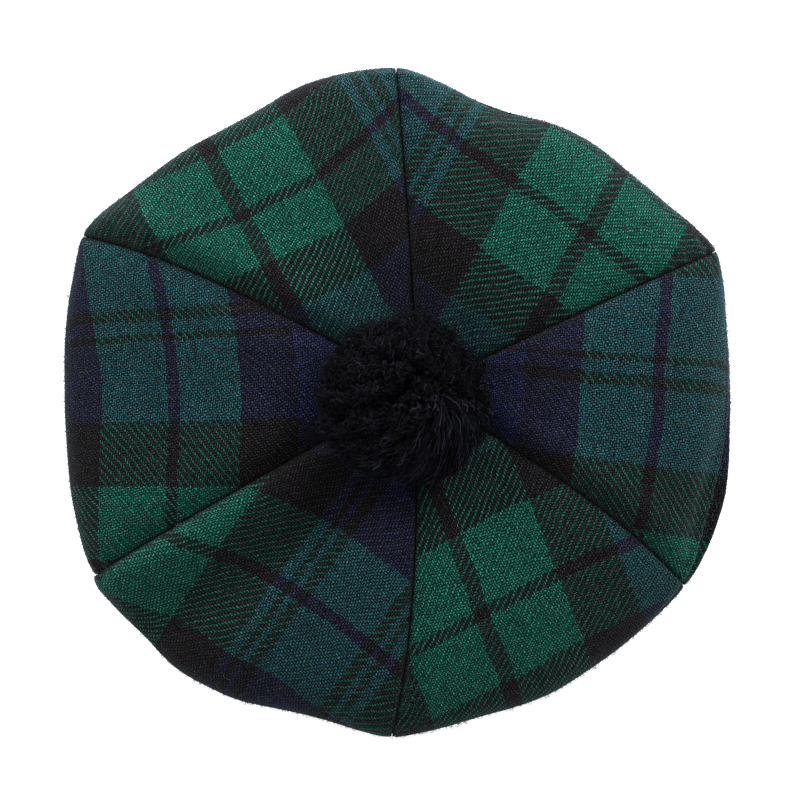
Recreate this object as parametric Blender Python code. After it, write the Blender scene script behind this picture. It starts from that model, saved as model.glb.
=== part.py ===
"""Tam o' shanter: a soft round bonnet of six tartan gores, a headband and a wool pompom.

Metres, +Z up. The bonnet lies as it does on a table: the headband stands on the ground plane z = 0, the
crown spreads out over it and droops, and the pompom sits on the crown's centre. +Y is the side of seam_1.
The origin is below the middle of the bonnet's bounding box.
"""
import math
from collections import namedtuple

import bmesh
import bpy
from mathutils import Vector

MM = 0.001

# Headband
HEAD_GIRTH = 580 * MM
BAND_HEIGHT = 30 * MM
BAND_WALL = 3.0 * MM
BAND_EDGE = 0.7 * MM
BAND_SIDES = 60

# Cloth of the gores and the clearance between touching pieces
CLOTH = 1.5 * MM
CLEARANCE = 0.3 * MM

# The crown's centre, where the gores' tips meet, lies a little off the middle of the outline
CROWN_CENTRE = (8.9 * MM, 5.9 * MM)
TIP_RADIUS = 3.6 * MM

# Faceting of a gore: steps between two rows of the profile, and columns from seam to seam
STEPS_PER_ROW = 2
COLUMNS = 14

# The seams, clockwise from the far side. rim_deg and inner_deg are the azimuths at the rim and near the
# centre, reach_mm is the rim's distance there, dip_mm is how deep the seam pulls the cloth down, and the
# rises are how far the cloth stands up beside it, on the side before it and the side after it.
Seam = namedtuple("Seam", "rim_deg inner_deg reach_mm dip_mm rise_before_mm rise_after_mm")
SEAMS = (
    Seam(rim_deg=94.3, inner_deg=94.0, reach_mm=139.1, dip_mm=2.6, rise_before_mm=0.8, rise_after_mm=0.6),
    Seam(rim_deg=24.8, inner_deg=25.2, reach_mm=141.9, dip_mm=3.2, rise_before_mm=0.6, rise_after_mm=1.0),
    Seam(rim_deg=-36.8, inner_deg=-32.5, reach_mm=144.8, dip_mm=3.2, rise_before_mm=0.8, rise_after_mm=0.8),
    Seam(rim_deg=-94.6, inner_deg=-91.5, reach_mm=151.5, dip_mm=2.6, rise_before_mm=0.8, rise_after_mm=0.6),
    Seam(rim_deg=-150.0, inner_deg=-150.8, reach_mm=164.0, dip_mm=3.6, rise_before_mm=2.6, rise_after_mm=0.4),
    Seam(rim_deg=-204.3, inner_deg=-208.3, reach_mm=159.6, dip_mm=3.4, rise_before_mm=1.2, rise_after_mm=0.6),
)

# The gores, clockwise from the first seam: reach of the rim a quarter, half and three quarters across.
Gore = namedtuple("Gore", "node quarter_mm middle_mm last_quarter_mm")
GORES = (
    Gore("gore_1", quarter_mm=127.3, middle_mm=129.0, last_quarter_mm=131.2),
    Gore("gore_2", quarter_mm=134.7, middle_mm=136.7, last_quarter_mm=141.4),
    Gore("gore_3", quarter_mm=142.8, middle_mm=143.9, last_quarter_mm=145.2),
    Gore("gore_4", quarter_mm=150.0, middle_mm=157.0, last_quarter_mm=162.6),
    Gore("gore_5", quarter_mm=158.3, middle_mm=154.1, last_quarter_mm=155.9),
    Gore("gore_6", quarter_mm=148.2, middle_mm=139.5, last_quarter_mm=140.0),
)

# A section of the crown from the tip over the rim to the hem. out runs 0 to 1 from the centre to the
# headband and 1 to 2 from the headband to the rim. dip and tuck say how much of each a station takes.
Station = namedtuple("Station", "name out height_mm dip tuck")
PROFILE = (
    Station("tip", out=0.0, height_mm=41.5, dip=0.0, tuck=0.0),
    Station("dish", out=0.28, height_mm=43.5, dip=0.4, tuck=0.0),
    Station("plateau", out=0.68, height_mm=47.0, dip=1.0, tuck=0.0),
    Station("shoulder", out=1.18, height_mm=44.0, dip=1.0, tuck=0.0),
    Station("brow", out=1.62, height_mm=38.0, dip=0.9, tuck=0.35),
    Station("roll", out=1.88, height_mm=30.0, dip=0.5, tuck=0.9),
    Station("crease", out=1.985, height_mm=23.0, dip=0.2, tuck=1.0),
    Station("rim", out=2.0, height_mm=16.0, dip=0.0, tuck=0.0),
    Station("under_roll", out=1.93, height_mm=9.5, dip=0.0, tuck=0.0),
    Station("belly", out=1.70, height_mm=5.5, dip=0.0, tuck=0.0),
    Station("sag", out=1.40, height_mm=9.5, dip=0.0, tuck=0.0),
    Station("rise", out=1.15, height_mm=18.0, dip=0.0, tuck=0.0),
    Station("hem", out=1.0, height_mm=28.0, dip=0.0, tuck=0.0),
)

# Where the rim's upper fold draws in and lets the cloth below it bulge out past it
Tuck = namedtuple("Tuck", "place azimuth_deg half_width_deg depth_mm")
TUCKS = (
    Tuck("right front", azimuth_deg=-22.0, half_width_deg=17.0, depth_mm=7.5),
    Tuck("far right", azimuth_deg=74.0, half_width_deg=9.0, depth_mm=2.5),
)

# Slow waves of the soft crown
Wave = namedtuple("Wave", "lobes turn_deg height_mm")
WAVES = (
    Wave(lobes=2, turn_deg=35.0, height_mm=1.4),
    Wave(lobes=5, turn_deg=80.0, height_mm=0.8),
    Wave(lobes=9, turn_deg=10.0, height_mm=0.4),
)

SEAM_GROOVE = 7.0 * MM
SEAM_SHOULDER_AT = 13.0 * MM
SEAM_SHOULDER_WIDTH = 7.0 * MM

# Pompom: a flattened ball of wool with its locks, leaning a little off the crown's centre
POMPOM_RADIUS = 31.0 * MM
POMPOM_HALF_HEIGHT = 24.0 * MM
POMPOM_LEAN = (-6.5 * MM, -4.5 * MM)
POMPOM_SEAT = 45.6 * MM
POMPOM_FLAT_BELOW = -0.7
LOCK_LENGTH = 8.0 * MM
LOCK_TAPER = 0.45
LOCK_SWEEP = 4.5 * MM
LOCK_SPREAD = 2.4
LOCK_LEAST_RISE = 0.12
LOCK_LOWEST_FACING = -0.9
TIE_RADIUS = 3.1 * MM
TIE_BOTTOM = 40.2 * MM
TIE_SIDES = 10


def head_radius():
    """Inner radius of the headband, from the girth of the head."""
    return HEAD_GIRTH / (2 * math.pi)


def band_outer_radius():
    return head_radius() + BAND_WALL


def hem_radius():
    """Where the gores' lower ends lie against the headband."""
    return band_outer_radius() + CLEARANCE


def catmull(before, start, end, after, share):
    """Cubic through start and end, with slopes taken from their neighbours."""
    square = share * share
    cube = square * share
    return 0.5 * (
        2 * start
        + (end - before) * share
        + (2 * before - 5 * start + 4 * end - after) * square
        + (3 * start - before - 3 * end + after) * cube
    )


def smooth_value(values, place):
    """Value at place, counted in steps along an open row of values."""
    index = min(int(place), len(values) - 2)
    share = place - index
    start = values[index]
    end = values[index + 1]
    before = values[index - 1] if index > 0 else 2 * start - end
    after = values[index + 2] if index + 2 < len(values) else 2 * end - start
    return catmull(before, start, end, after, share)


def bell(distance, width):
    return math.exp(-((distance / width) ** 2))


def rim_reach(gore, across):
    """Distance of the rim from the crown's centre, from seam to seam of one gore."""
    row = GORES[gore]
    reaches = (
        SEAMS[gore].reach_mm,
        row.quarter_mm,
        row.middle_mm,
        row.last_quarter_mm,
        SEAMS[(gore + 1) % len(SEAMS)].reach_mm,
    )
    return smooth_value(reaches, across * (len(reaches) - 1)) * MM


def seam_azimuth(seam, radius):
    """Azimuth of a seam line, in radians, which bends a little towards the rim."""
    row = SEAMS[seam % len(SEAMS)]
    turns = -2 * math.pi if seam >= len(SEAMS) else 0.0
    share = min(radius / (row.reach_mm * MM), 1.0) ** 3
    return math.radians(row.inner_deg + (row.rim_deg - row.inner_deg) * share) + turns


def gore_azimuth(gore, across, radius):
    """Azimuth of a point of a gore, whose edges keep half the clearance to each seam line."""
    inset = math.asin(0.5 * CLEARANCE / radius)
    start = seam_azimuth(gore, radius) - inset
    end = seam_azimuth(gore + 1, radius) + inset
    return start + (end - start) * across


def tuck_depth(azimuth_deg):
    """How far the rim's upper fold draws in at an azimuth."""
    depth = 0.0
    for row in TUCKS:
        turn = (azimuth_deg - row.azimuth_deg + 180) % 360 - 180
        depth += row.depth_mm * MM * bell(turn, row.half_width_deg)
    return depth


def wave_height(azimuth, radius):
    """Height of the crown's slow waves, which fade towards the centre."""
    fade = min(radius / hem_radius(), 1.0) ** 2
    height = 0.0
    for row in WAVES:
        height += row.height_mm * MM * math.sin(row.lobes * azimuth + math.radians(row.turn_deg))
    return height * fade


def seam_relief(gore, across, radius):
    """Height change beside the seams: a groove at each seam and a low shoulder next to it."""
    width = abs(gore_azimuth(gore, 1.0, radius) - gore_azimuth(gore, 0.0, radius)) * radius
    start = SEAMS[gore]
    end = SEAMS[(gore + 1) % len(SEAMS)]
    sides = (
        (across * width, start.dip_mm, start.rise_after_mm),
        ((1 - across) * width, end.dip_mm, end.rise_before_mm),
    )
    relief = 0.0
    for distance, dip, rise in sides:
        relief -= dip * MM * bell(distance, SEAM_GROOVE)
        relief += rise * MM * bell(distance - SEAM_SHOULDER_AT, SEAM_SHOULDER_WIDTH)
    return relief


def section(gore, across, steps):
    """Points (radius, height) of the crown's outer face, from the tip over the rim to the hem."""
    reach = rim_reach(gore, across)
    hem = hem_radius()
    tuck = tuck_depth(math.degrees(gore_azimuth(gore, across, reach)))
    radii = []
    heights = []
    for row in PROFILE:
        inner = TIP_RADIUS + (hem - TIP_RADIUS) * min(row.out, 1.0)
        radius = inner + (reach - hem) * max(row.out - 1.0, 0.0)
        radius -= tuck * row.tuck
        relief = row.dip * seam_relief(gore, across, radius)
        relief += row.dip * wave_height(gore_azimuth(gore, across, radius), radius)
        radii.append(radius)
        heights.append(row.height_mm * MM + relief)
    points = []
    total = (len(PROFILE) - 1) * steps
    for step in range(total + 1):
        place = step / steps
        points.append((smooth_value(radii, place), smooth_value(heights, place)))
    return points


def inner_section(points):
    """The same section moved in by the cloth's thickness, to the side of the hollow."""
    moved = []
    for index, (radius, height) in enumerate(points):
        back = points[max(index - 1, 0)]
        ahead = points[min(index + 1, len(points) - 1)]
        run = ahead[0] - back[0]
        climb = ahead[1] - back[1]
        length = math.hypot(run, climb)
        moved.append((radius + CLOTH * climb / length, height - CLOTH * run / length))
    return moved


def crown_point(gore, across, radius, height):
    """World position of a point of a gore."""
    azimuth = gore_azimuth(gore, across, radius)
    return (
        CROWN_CENTRE[0] + radius * math.cos(azimuth),
        CROWN_CENTRE[1] + radius * math.sin(azimuth),
        height,
    )


def material(name, colour, roughness):
    """Matt wool cloth of one colour."""
    made = bpy.data.materials.new(name)
    made.use_nodes = True
    shader = made.node_tree.nodes["Principled BSDF"]
    shader.inputs["Base Color"].default_value = (*colour, 1.0)
    shader.inputs["Roughness"].default_value = roughness
    shader.inputs["Metallic"].default_value = 0.0
    made.diffuse_color = (*colour, 1.0)
    return made


def place_mesh(node, mesh_builder, finish):
    """Turns a bmesh into a named, smooth-shaded object."""
    bmesh.ops.recalc_face_normals(mesh_builder, faces=mesh_builder.faces)
    mesh = bpy.data.meshes.new(node)
    mesh_builder.to_mesh(mesh)
    mesh_builder.free()
    mesh.materials.append(finish)
    mesh.shade_smooth()
    mesh.set_sharp_from_angle(angle=math.radians(40))
    made = bpy.data.objects.new(node, mesh)
    bpy.context.scene.collection.objects.link(made)
    return made


def bridge_rows(builder, first, second):
    """A strip of faces between two rows of the same length."""
    for index in range(len(first) - 1):
        builder.faces.new((first[index], first[index + 1], second[index + 1], second[index]))


def make_gore(gore, finish):
    """One petal of cloth: an outer and an inner face joined round their edge."""
    builder = bmesh.new()
    outer = []
    inner = []
    for column in range(COLUMNS + 1):
        across = 0.5 - 0.5 * math.cos(math.pi * column / COLUMNS)
        face = section(gore, across, STEPS_PER_ROW)
        back = inner_section(face)
        outer.append([builder.verts.new(crown_point(gore, across, *point)) for point in face])
        inner.append([builder.verts.new(crown_point(gore, across, *point)) for point in back])
    for column in range(COLUMNS):
        bridge_rows(builder, outer[column], outer[column + 1])
        bridge_rows(builder, inner[column + 1], inner[column])
    bridge_rows(builder, inner[0], outer[0])
    bridge_rows(builder, outer[-1], inner[-1])
    for end in (0, -1):
        outer_end = [column[end] for column in outer]
        inner_end = [column[end] for column in inner]
        bridge_rows(builder, outer_end, inner_end)
    return place_mesh(GORES[gore].node, builder, finish)


def make_headband(finish):
    """The band round the head opening: a turned strip with eased edges, flat where it stands."""
    inside = head_radius()
    outside = band_outer_radius()
    outline = (
        (inside + BAND_EDGE, 0.0),
        (outside - BAND_EDGE, 0.0),
        (outside, BAND_EDGE),
        (outside, BAND_HEIGHT - BAND_EDGE),
        (outside - BAND_EDGE, BAND_HEIGHT),
        (inside + BAND_EDGE, BAND_HEIGHT),
        (inside, BAND_HEIGHT - BAND_EDGE),
        (inside, BAND_EDGE),
    )
    builder = bmesh.new()
    rings = []
    for side in range(BAND_SIDES):
        azimuth = 2 * math.pi * side / BAND_SIDES
        ring = []
        for radius, height in outline:
            x = CROWN_CENTRE[0] + radius * math.cos(azimuth)
            y = CROWN_CENTRE[1] + radius * math.sin(azimuth)
            ring.append(builder.verts.new((x, y, height)))
        rings.append(ring)
    for side in range(BAND_SIDES):
        ring = rings[side]
        following = rings[(side + 1) % BAND_SIDES]
        closed = ring + ring[:1]
        closed_following = following + following[:1]
        bridge_rows(builder, closed, closed_following)
    return place_mesh("headband", builder, finish)


def grow_lock(builder, face, rank):
    """Draws one face of the ball out into a tapered lock that sweeps round and lies clear of the crown."""
    course = Vector((face.normal.x, face.normal.y, max(face.normal.z, LOCK_LEAST_RISE))).normalized()
    made = bmesh.ops.extrude_discrete_faces(builder, faces=[face])["faces"][0]
    centre = made.calc_center_median()
    length = LOCK_LENGTH * (0.75 + 0.25 * math.cos(rank * LOCK_SPREAD))
    azimuth = math.atan2(course.y, course.x)
    sweep = LOCK_SWEEP * (0.6 + 0.4 * math.sin(rank * LOCK_SPREAD))
    for vert in made.verts:
        vert.co = centre + (vert.co - centre) * LOCK_TAPER + course * length
        vert.co.x += math.sin(azimuth) * sweep
        vert.co.y -= math.cos(azimuth) * sweep


def make_pompom(finish):
    """The wool pompom: a ball flattened where it sits, with locks all over, and its tie below."""
    builder = bmesh.new()
    bmesh.ops.create_icosphere(builder, subdivisions=3, radius=1.0)
    for vert in builder.verts:
        height = max(vert.co.z, POMPOM_FLAT_BELOW)
        vert.co = (vert.co.x * POMPOM_RADIUS, vert.co.y * POMPOM_RADIUS, height * POMPOM_HALF_HEIGHT)
    builder.normal_update()
    hairy = [face for face in builder.faces if face.normal.z > LOCK_LOWEST_FACING]
    for rank, face in enumerate(hairy):
        grow_lock(builder, face, rank)
    lift = POMPOM_SEAT - POMPOM_FLAT_BELOW * POMPOM_HALF_HEIGHT
    shift = (CROWN_CENTRE[0] + POMPOM_LEAN[0], CROWN_CENTRE[1] + POMPOM_LEAN[1], lift)
    bmesh.ops.translate(builder, verts=builder.verts, vec=shift)
    pompom = place_mesh("pompom", builder, finish)
    join_tie(pompom, finish)
    return pompom


def join_tie(pompom, finish):
    """Unites the pompom with the tie of yarn that goes down through the crown's centre."""
    builder = bmesh.new()
    top = POMPOM_SEAT + POMPOM_HALF_HEIGHT
    bmesh.ops.create_cone(
        builder,
        cap_ends=True,
        segments=TIE_SIDES,
        radius1=TIE_RADIUS,
        radius2=TIE_RADIUS,
        depth=top - TIE_BOTTOM,
    )
    middle = (CROWN_CENTRE[0], CROWN_CENTRE[1], (top + TIE_BOTTOM) / 2)
    bmesh.ops.translate(builder, verts=builder.verts, vec=middle)
    tie = place_mesh("tie_guide", builder, finish)
    tie.hide_render = True
    tie.display_type = "WIRE"
    union = pompom.modifiers.new("tie", "BOOLEAN")
    union.operation = "UNION"
    union.object = tie


def clear_scene():
    for item in list(bpy.data.objects):
        bpy.data.objects.remove(item, do_unlink=True)


def main():
    clear_scene()
    tartan = material("tartan_wool", (0.035, 0.085, 0.075), 0.92)
    band_cloth = material("band_wool", (0.02, 0.035, 0.05), 0.92)
    yarn = material("pompom_wool", (0.012, 0.012, 0.022), 0.95)
    for gore in range(len(GORES)):
        make_gore(gore, tartan)
    make_headband(band_cloth)
    make_pompom(yarn)


main()
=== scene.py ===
"""Tam o' shanter: the visual model of a soft tartan bonnet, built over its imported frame.

Metres, +Z up. The bonnet lies on the plane z = 0 as on a table and is seen straight from above. Six gores of
twill-woven wool meet under a pompom of yarn and are sewn to a headband below.
"""
import logging
import math
from dataclasses import dataclass
from enum import Enum
from typing import ClassVar

import bpy
import numpy as np
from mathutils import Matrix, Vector, noise


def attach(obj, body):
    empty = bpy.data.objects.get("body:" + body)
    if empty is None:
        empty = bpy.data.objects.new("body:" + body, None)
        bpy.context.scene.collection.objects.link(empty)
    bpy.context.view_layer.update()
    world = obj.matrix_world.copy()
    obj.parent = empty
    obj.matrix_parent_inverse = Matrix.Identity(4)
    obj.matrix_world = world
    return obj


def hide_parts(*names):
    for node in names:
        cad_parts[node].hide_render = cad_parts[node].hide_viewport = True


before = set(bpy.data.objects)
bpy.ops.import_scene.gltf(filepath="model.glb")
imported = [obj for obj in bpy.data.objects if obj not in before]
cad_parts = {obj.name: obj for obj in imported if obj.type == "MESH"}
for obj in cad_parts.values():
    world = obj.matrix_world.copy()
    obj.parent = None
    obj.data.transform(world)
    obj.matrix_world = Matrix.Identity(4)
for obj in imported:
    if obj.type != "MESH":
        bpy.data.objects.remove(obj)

MM = 0.001
TAU = 2 * math.pi
BODY = "root"
Socket = bpy.types.NodeSocket
Material = bpy.types.Material
Piece = bpy.types.Object
Triple = tuple[float, float, float]
log = logging.getLogger("tam")


class Slot(Enum):
    """Material slots of the record."""

    CLOTH = "tartan_wool"
    BAND = "band_wool"
    YARN = "pompom_wool"


class Dye(Enum):
    """Colours of the cloth's yarns, linear, and how easily a darker yarn's fibres cover each."""

    BLACK = (0.0046, 0.0039, 0.0044, 0.0)
    NAVY = (0.0064, 0.0086, 0.0258, 0.5)
    GREEN = (0.0030, 0.0390, 0.0275, 1.0)


@dataclass(frozen=True)
class Stripe:
    """One colour of the sett: its dye and its width across and along a gore, in millimetres."""

    dye: Dye
    across_mm: float
    along_mm: float


@dataclass(frozen=True)
class Seam:
    """A seam between two gores as it lies: where it runs, how deep it pulls, how the cloth rises by it."""

    rim_deg: float
    inner_deg: float
    reach_mm: float
    dip_mm: float
    rise_before_mm: float
    rise_after_mm: float


@dataclass(frozen=True)
class Lay:
    """How one gore's tartan lies: stripes in plan, measured from the crown's centre along the gore's axis."""

    axis_deg: float
    sett_at_axis_mm: float
    tilt: float
    fan_per_mm: float
    marks_mm: tuple[float, float, float, float]
    bow_before_mm: float
    bow_after_mm: float


@dataclass(frozen=True)
class GoreRow:
    """One gore: its CAD node, and the rim's reach a quarter, half and three quarters across it."""

    node: str
    quarter_mm: float
    middle_mm: float
    last_quarter_mm: float


@dataclass(frozen=True)
class Station:
    """A station of the crown's section: out runs 0 to 1 to the headband and 1 to 2 on to the rim."""

    name: str
    out: float
    height_mm: float
    dip: float = 0.0
    tuck: float = 0.0


@dataclass(frozen=True)
class Crest:
    """A soft crest of cloth along a seam, on the side before or after it, and the hollow beyond."""

    seam: int
    before: bool
    rise_mm: float
    at_mm: float
    width_mm: float
    hollow_mm: float
    hollow_at_mm: float
    hollow_width_mm: float


@dataclass(frozen=True)
class Tuck:
    """A place where the rim's upper fold draws in over the cloth below it."""

    azimuth_deg: float
    half_width_deg: float
    depth_mm: float


@dataclass(frozen=True)
class Wave:
    """A slow wave of the soft crown."""

    lobes: int
    turn_deg: float
    height_mm: float


PIVOT_GREEN = (
    Stripe(Dye.BLACK, 27.6, 23.9),
    Stripe(Dye.GREEN, 33.5, 29.2),
    Stripe(Dye.BLACK, 6.05, 5.2),
    Stripe(Dye.GREEN, 33.5, 29.2),
    Stripe(Dye.BLACK, 27.6, 23.9),
)
PAIR_OF_LINES = (
    Stripe(Dye.BLACK, 4.3, 3.7),
    Stripe(Dye.NAVY, 2.95, 2.65),
    Stripe(Dye.BLACK, 4.3, 3.7),
)
EDGE_LINED_NAVY = (
    Stripe(Dye.NAVY, 4.3, 3.7),
    *PAIR_OF_LINES,
    Stripe(Dye.NAVY, 31.2, 27.1),
    *PAIR_OF_LINES,
    Stripe(Dye.NAVY, 4.3, 3.7),
)
CENTRE_LINED_NAVY = (
    Stripe(Dye.NAVY, 34.6, 30.1),
    Stripe(Dye.BLACK, 4.5, 3.9),
    Stripe(Dye.NAVY, 5.1, 4.5),
    Stripe(Dye.BLACK, 4.5, 3.9),
    Stripe(Dye.NAVY, 34.6, 30.1),
)
SETT = PIVOT_GREEN + EDGE_LINED_NAVY + PIVOT_GREEN + CENTRE_LINED_NAVY

SEAMS = (
    Seam(94.3, 94.0, 139.1, 2.6, 0.8, 0.6),
    Seam(24.8, 25.2, 141.9, 3.2, 0.6, 1.0),
    Seam(-36.8, -32.5, 144.8, 3.2, 0.8, 0.8),
    Seam(-94.6, -91.5, 151.5, 2.6, 0.8, 0.6),
    Seam(-150.0, -150.8, 164.0, 3.6, 2.6, 0.4),
    Seam(-204.3, -208.3, 159.6, 3.4, 1.2, 0.6),
)
GORES = (
    GoreRow("gore_1", 127.3, 129.0, 131.2),
    GoreRow("gore_2", 134.7, 136.7, 141.4),
    GoreRow("gore_3", 142.8, 143.9, 145.2),
    GoreRow("gore_4", 150.0, 157.0, 162.6),
    GoreRow("gore_5", 158.3, 154.1, 155.9),
    GoreRow("gore_6", 148.2, 139.5, 140.0),
)
LAYS = (
    Lay(60.0, 228.2, 0.0, 0.0, (39.8, 63.7, 94.8, 124.5), 4.4, -4.6),
    Lay(0.0, 369.6, 0.10, 0.00117, (43.6, 67.9, 101.2, 131.4), 3.1, -4.8),
    Lay(-60.0, 39.0, 0.15, 0.0007, (36.8, 62.8, 97.0, 127.1), 4.4, -0.9),
    Lay(-120.0, 179.9, 0.095, 0.0002, (44.9, 69.2, 101.7, 136.9), 5.2, 3.1),
    Lay(-180.0, 335.3, -0.045, -0.0009, (51.4, 75.8, 104.4, 135.4), 0.9, 6.5),
    Lay(-240.0, 93.7, 0.02, 0.0, (54.3, 76.0, 99.2, 128.8), 3.9, 7.8),
)
PROFILE = (
    Station("tip", 0.0, 41.5),
    Station("dish", 0.28, 43.5, 0.4),
    Station("plateau", 0.68, 47.0, 1.0),
    Station("shoulder", 1.18, 44.0, 1.0),
    Station("brow", 1.62, 38.0, 0.9, 0.35),
    Station("roll", 1.88, 30.0, 0.5, 0.9),
    Station("crease", 1.985, 23.0, 0.2, 1.0),
    Station("rim", 2.0, 16.0),
    Station("under_roll", 1.93, 9.5),
    Station("belly", 1.70, 5.5),
    Station("sag", 1.40, 9.5),
    Station("rise", 1.15, 18.0),
    Station("hem", 1.0, 28.0),
)
CRESTS = (
    Crest(4, True, 3.2, 5.0, 5.5, 7.5, 34.0, 15.0),
    Crest(5, False, 3.0, 10.0, 9.0, 2.0, 38.0, 16.0),
    Crest(2, True, 1.8, 9.0, 7.0, 0.0, 34.0, 14.0),
    Crest(4, False, -2.4, 0.0, 7.5, 0.0, 34.0, 14.0),
)
TUCKS = (Tuck(-22.0, 17.0, 7.5), Tuck(74.0, 9.0, 2.5))
WAVES = (Wave(2, 35.0, 1.4), Wave(5, 80.0, 0.8), Wave(9, 10.0, 0.4))


def bell(distance: np.ndarray, width: float) -> np.ndarray:
    """A bell curve, 1 at no distance."""
    return np.exp(-((distance / width) ** 2))


def unit(vectors: np.ndarray) -> np.ndarray:
    """Vectors of length 1 in the same directions."""
    return vectors / (np.linalg.norm(vectors, axis=-1, keepdims=True) + 1e-12)


def smooth_value(values: list, place: float) -> np.ndarray:
    """Value at a place along an open row, by a cubic whose slopes come from the neighbours.

    Args:
        values: One value or array for each station of the row.
        place: Where, counted in steps from the first station.

    Returns:
        The value there, of the same shape as the row's values.
    """
    index = min(int(place), len(values) - 2)
    share = place - index
    start = values[index]
    end = values[index + 1]
    before = values[index - 1] if index > 0 else 2 * start - end
    after = values[index + 2] if index + 2 < len(values) else 2 * end - start
    slope = (end - before) * share
    bend = (2 * before - 5 * start + 4 * end - after) * share**2
    turn = (3 * start - before - 3 * end + after) * share**3
    return 0.5 * (2 * start + slope + bend + turn)


@dataclass(frozen=True)
class CrownForm:
    """The crown's shape: seams, rim, section, waves and tucks, the same as in the CAD part."""

    centre: tuple[float, float] = (8.9 * MM, 5.9 * MM)
    tip_radius: float = 3.6 * MM
    head_girth: float = 580 * MM
    band_wall: float = 3.0 * MM
    clearance: float = 0.3 * MM
    groove: float = 7.0 * MM
    shoulder_at: float = 13.0 * MM
    shoulder_width: float = 7.0 * MM

    def head_radius(self) -> float:
        """Inner radius of the headband."""
        return self.head_girth / TAU

    def band_radius(self) -> float:
        """Radius of the middle of the headband's wall."""
        return self.head_radius() + self.band_wall / 2

    def hem_radius(self) -> float:
        """Radius at which the gores' lower ends lie against the headband."""
        return self.head_radius() + self.band_wall + self.clearance

    def points(self, radius: np.ndarray, azimuth: np.ndarray, height: np.ndarray) -> np.ndarray:
        """Points in space, from distances from the crown's centre, azimuths and heights."""
        x = self.centre[0] + radius * np.cos(azimuth)
        y = self.centre[1] + radius * np.sin(azimuth)
        return np.stack(np.broadcast_arrays(x, y, height), axis=-1)

    def rim_reach(self, gore: int, across: np.ndarray) -> np.ndarray:
        """Distance of the rim from the crown's centre.

        Args:
            gore: Index of the gore.
            across: Places from seam to seam, 0 to 1.

        Returns:
            Reach at each place, in metres.
        """
        row = GORES[gore]
        end = SEAMS[(gore + 1) % len(SEAMS)].reach_mm
        reaches = [SEAMS[gore].reach_mm, row.quarter_mm, row.middle_mm, row.last_quarter_mm, end]
        places = across * (len(reaches) - 1)
        return np.array([smooth_value(reaches, float(place)) for place in places]) * MM

    def seam_azimuth(self, seam: int, radius: np.ndarray) -> np.ndarray:
        """Azimuth of a seam line, in radians, which bends a little towards the rim."""
        row = SEAMS[seam % len(SEAMS)]
        turns = -TAU if seam >= len(SEAMS) else 0.0
        share = np.minimum(radius / (row.reach_mm * MM), 1.0) ** 3
        return np.radians(row.inner_deg + (row.rim_deg - row.inner_deg) * share) + turns

    def azimuth(self, gore: int, across: np.ndarray, radius: np.ndarray) -> np.ndarray:
        """Azimuth of points of a gore, whose edges keep half the clearance to each seam line.

        Args:
            gore: Index of the gore.
            across: Places from seam to seam, 0 to 1.
            radius: Distances from the crown's centre.

        Returns:
            Azimuths in radians.
        """
        inset = np.arcsin(0.5 * self.clearance / radius)
        start = self.seam_azimuth(gore, radius) - inset
        end = self.seam_azimuth(gore + 1, radius) + inset
        return start + (end - start) * across

    def tuck_depth(self, azimuth: np.ndarray) -> np.ndarray:
        """How far the rim's upper fold draws in at each azimuth."""
        depth = np.zeros_like(azimuth)
        for row in TUCKS:
            turn = (np.degrees(azimuth) - row.azimuth_deg + 180) % 360 - 180
            depth += row.depth_mm * MM * bell(turn, row.half_width_deg)
        return depth

    def wave_height(self, azimuth: np.ndarray, radius: np.ndarray) -> np.ndarray:
        """Height of the crown's slow waves, which fade towards the centre."""
        height = np.zeros_like(azimuth)
        for row in WAVES:
            height += row.height_mm * MM * np.sin(row.lobes * azimuth + math.radians(row.turn_deg))
        return height * np.minimum(radius / self.hem_radius(), 1.0) ** 2

    def width(self, gore: int, radius: np.ndarray) -> np.ndarray:
        """Distance from seam to seam of a gore, along the circle of each radius."""
        start = self.azimuth(gore, np.zeros_like(radius), radius)
        end = self.azimuth(gore, np.ones_like(radius), radius)
        return np.abs(end - start) * radius

    def seam_relief(self, gore: int, across: np.ndarray, radius: np.ndarray) -> np.ndarray:
        """Height change beside the seams: a groove at each and a low shoulder next to it.

        Args:
            gore: Index of the gore.
            across: Places from seam to seam, 0 to 1.
            radius: Distances from the crown's centre.

        Returns:
            Heights in metres.
        """
        width = self.width(gore, radius)
        start = SEAMS[gore]
        end = SEAMS[(gore + 1) % len(SEAMS)]
        sides = (
            (across * width, start.dip_mm, start.rise_after_mm),
            ((1 - across) * width, end.dip_mm, end.rise_before_mm),
        )
        relief = np.zeros_like(radius)
        for distance, dip, rise in sides:
            relief -= dip * MM * bell(distance, self.groove)
            relief += rise * MM * bell(distance - self.shoulder_at, self.shoulder_width)
        return relief

    def section(self, gore: int, across: np.ndarray, steps: int) -> tuple[np.ndarray, np.ndarray]:
        """The outer face's section at several places across a gore.

        Args:
            gore: Index of the gore.
            across: Places from seam to seam, 0 to 1.
            steps: Steps between two stations of the profile.

        Returns:
            Radii and heights, one row a step from tip to hem, one column a place across.
        """
        reach = self.rim_reach(gore, across)
        hem = self.hem_radius()
        tuck = self.tuck_depth(self.azimuth(gore, across, reach))
        radii = []
        heights = []
        for row in PROFILE:
            radius = self.tip_radius + (hem - self.tip_radius) * min(row.out, 1.0)
            radius = radius + (reach - hem) * max(row.out - 1.0, 0.0) - tuck * row.tuck
            relief = self.seam_relief(gore, across, radius)
            relief += self.wave_height(self.azimuth(gore, across, radius), radius)
            radii.append(radius)
            heights.append(row.height_mm * MM + row.dip * relief)
        places = np.arange((len(PROFILE) - 1) * steps + 1) / steps
        radius_rows = np.array([smooth_value(radii, float(place)) for place in places])
        height_rows = np.array([smooth_value(heights, float(place)) for place in places])
        return radius_rows, height_rows


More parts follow.
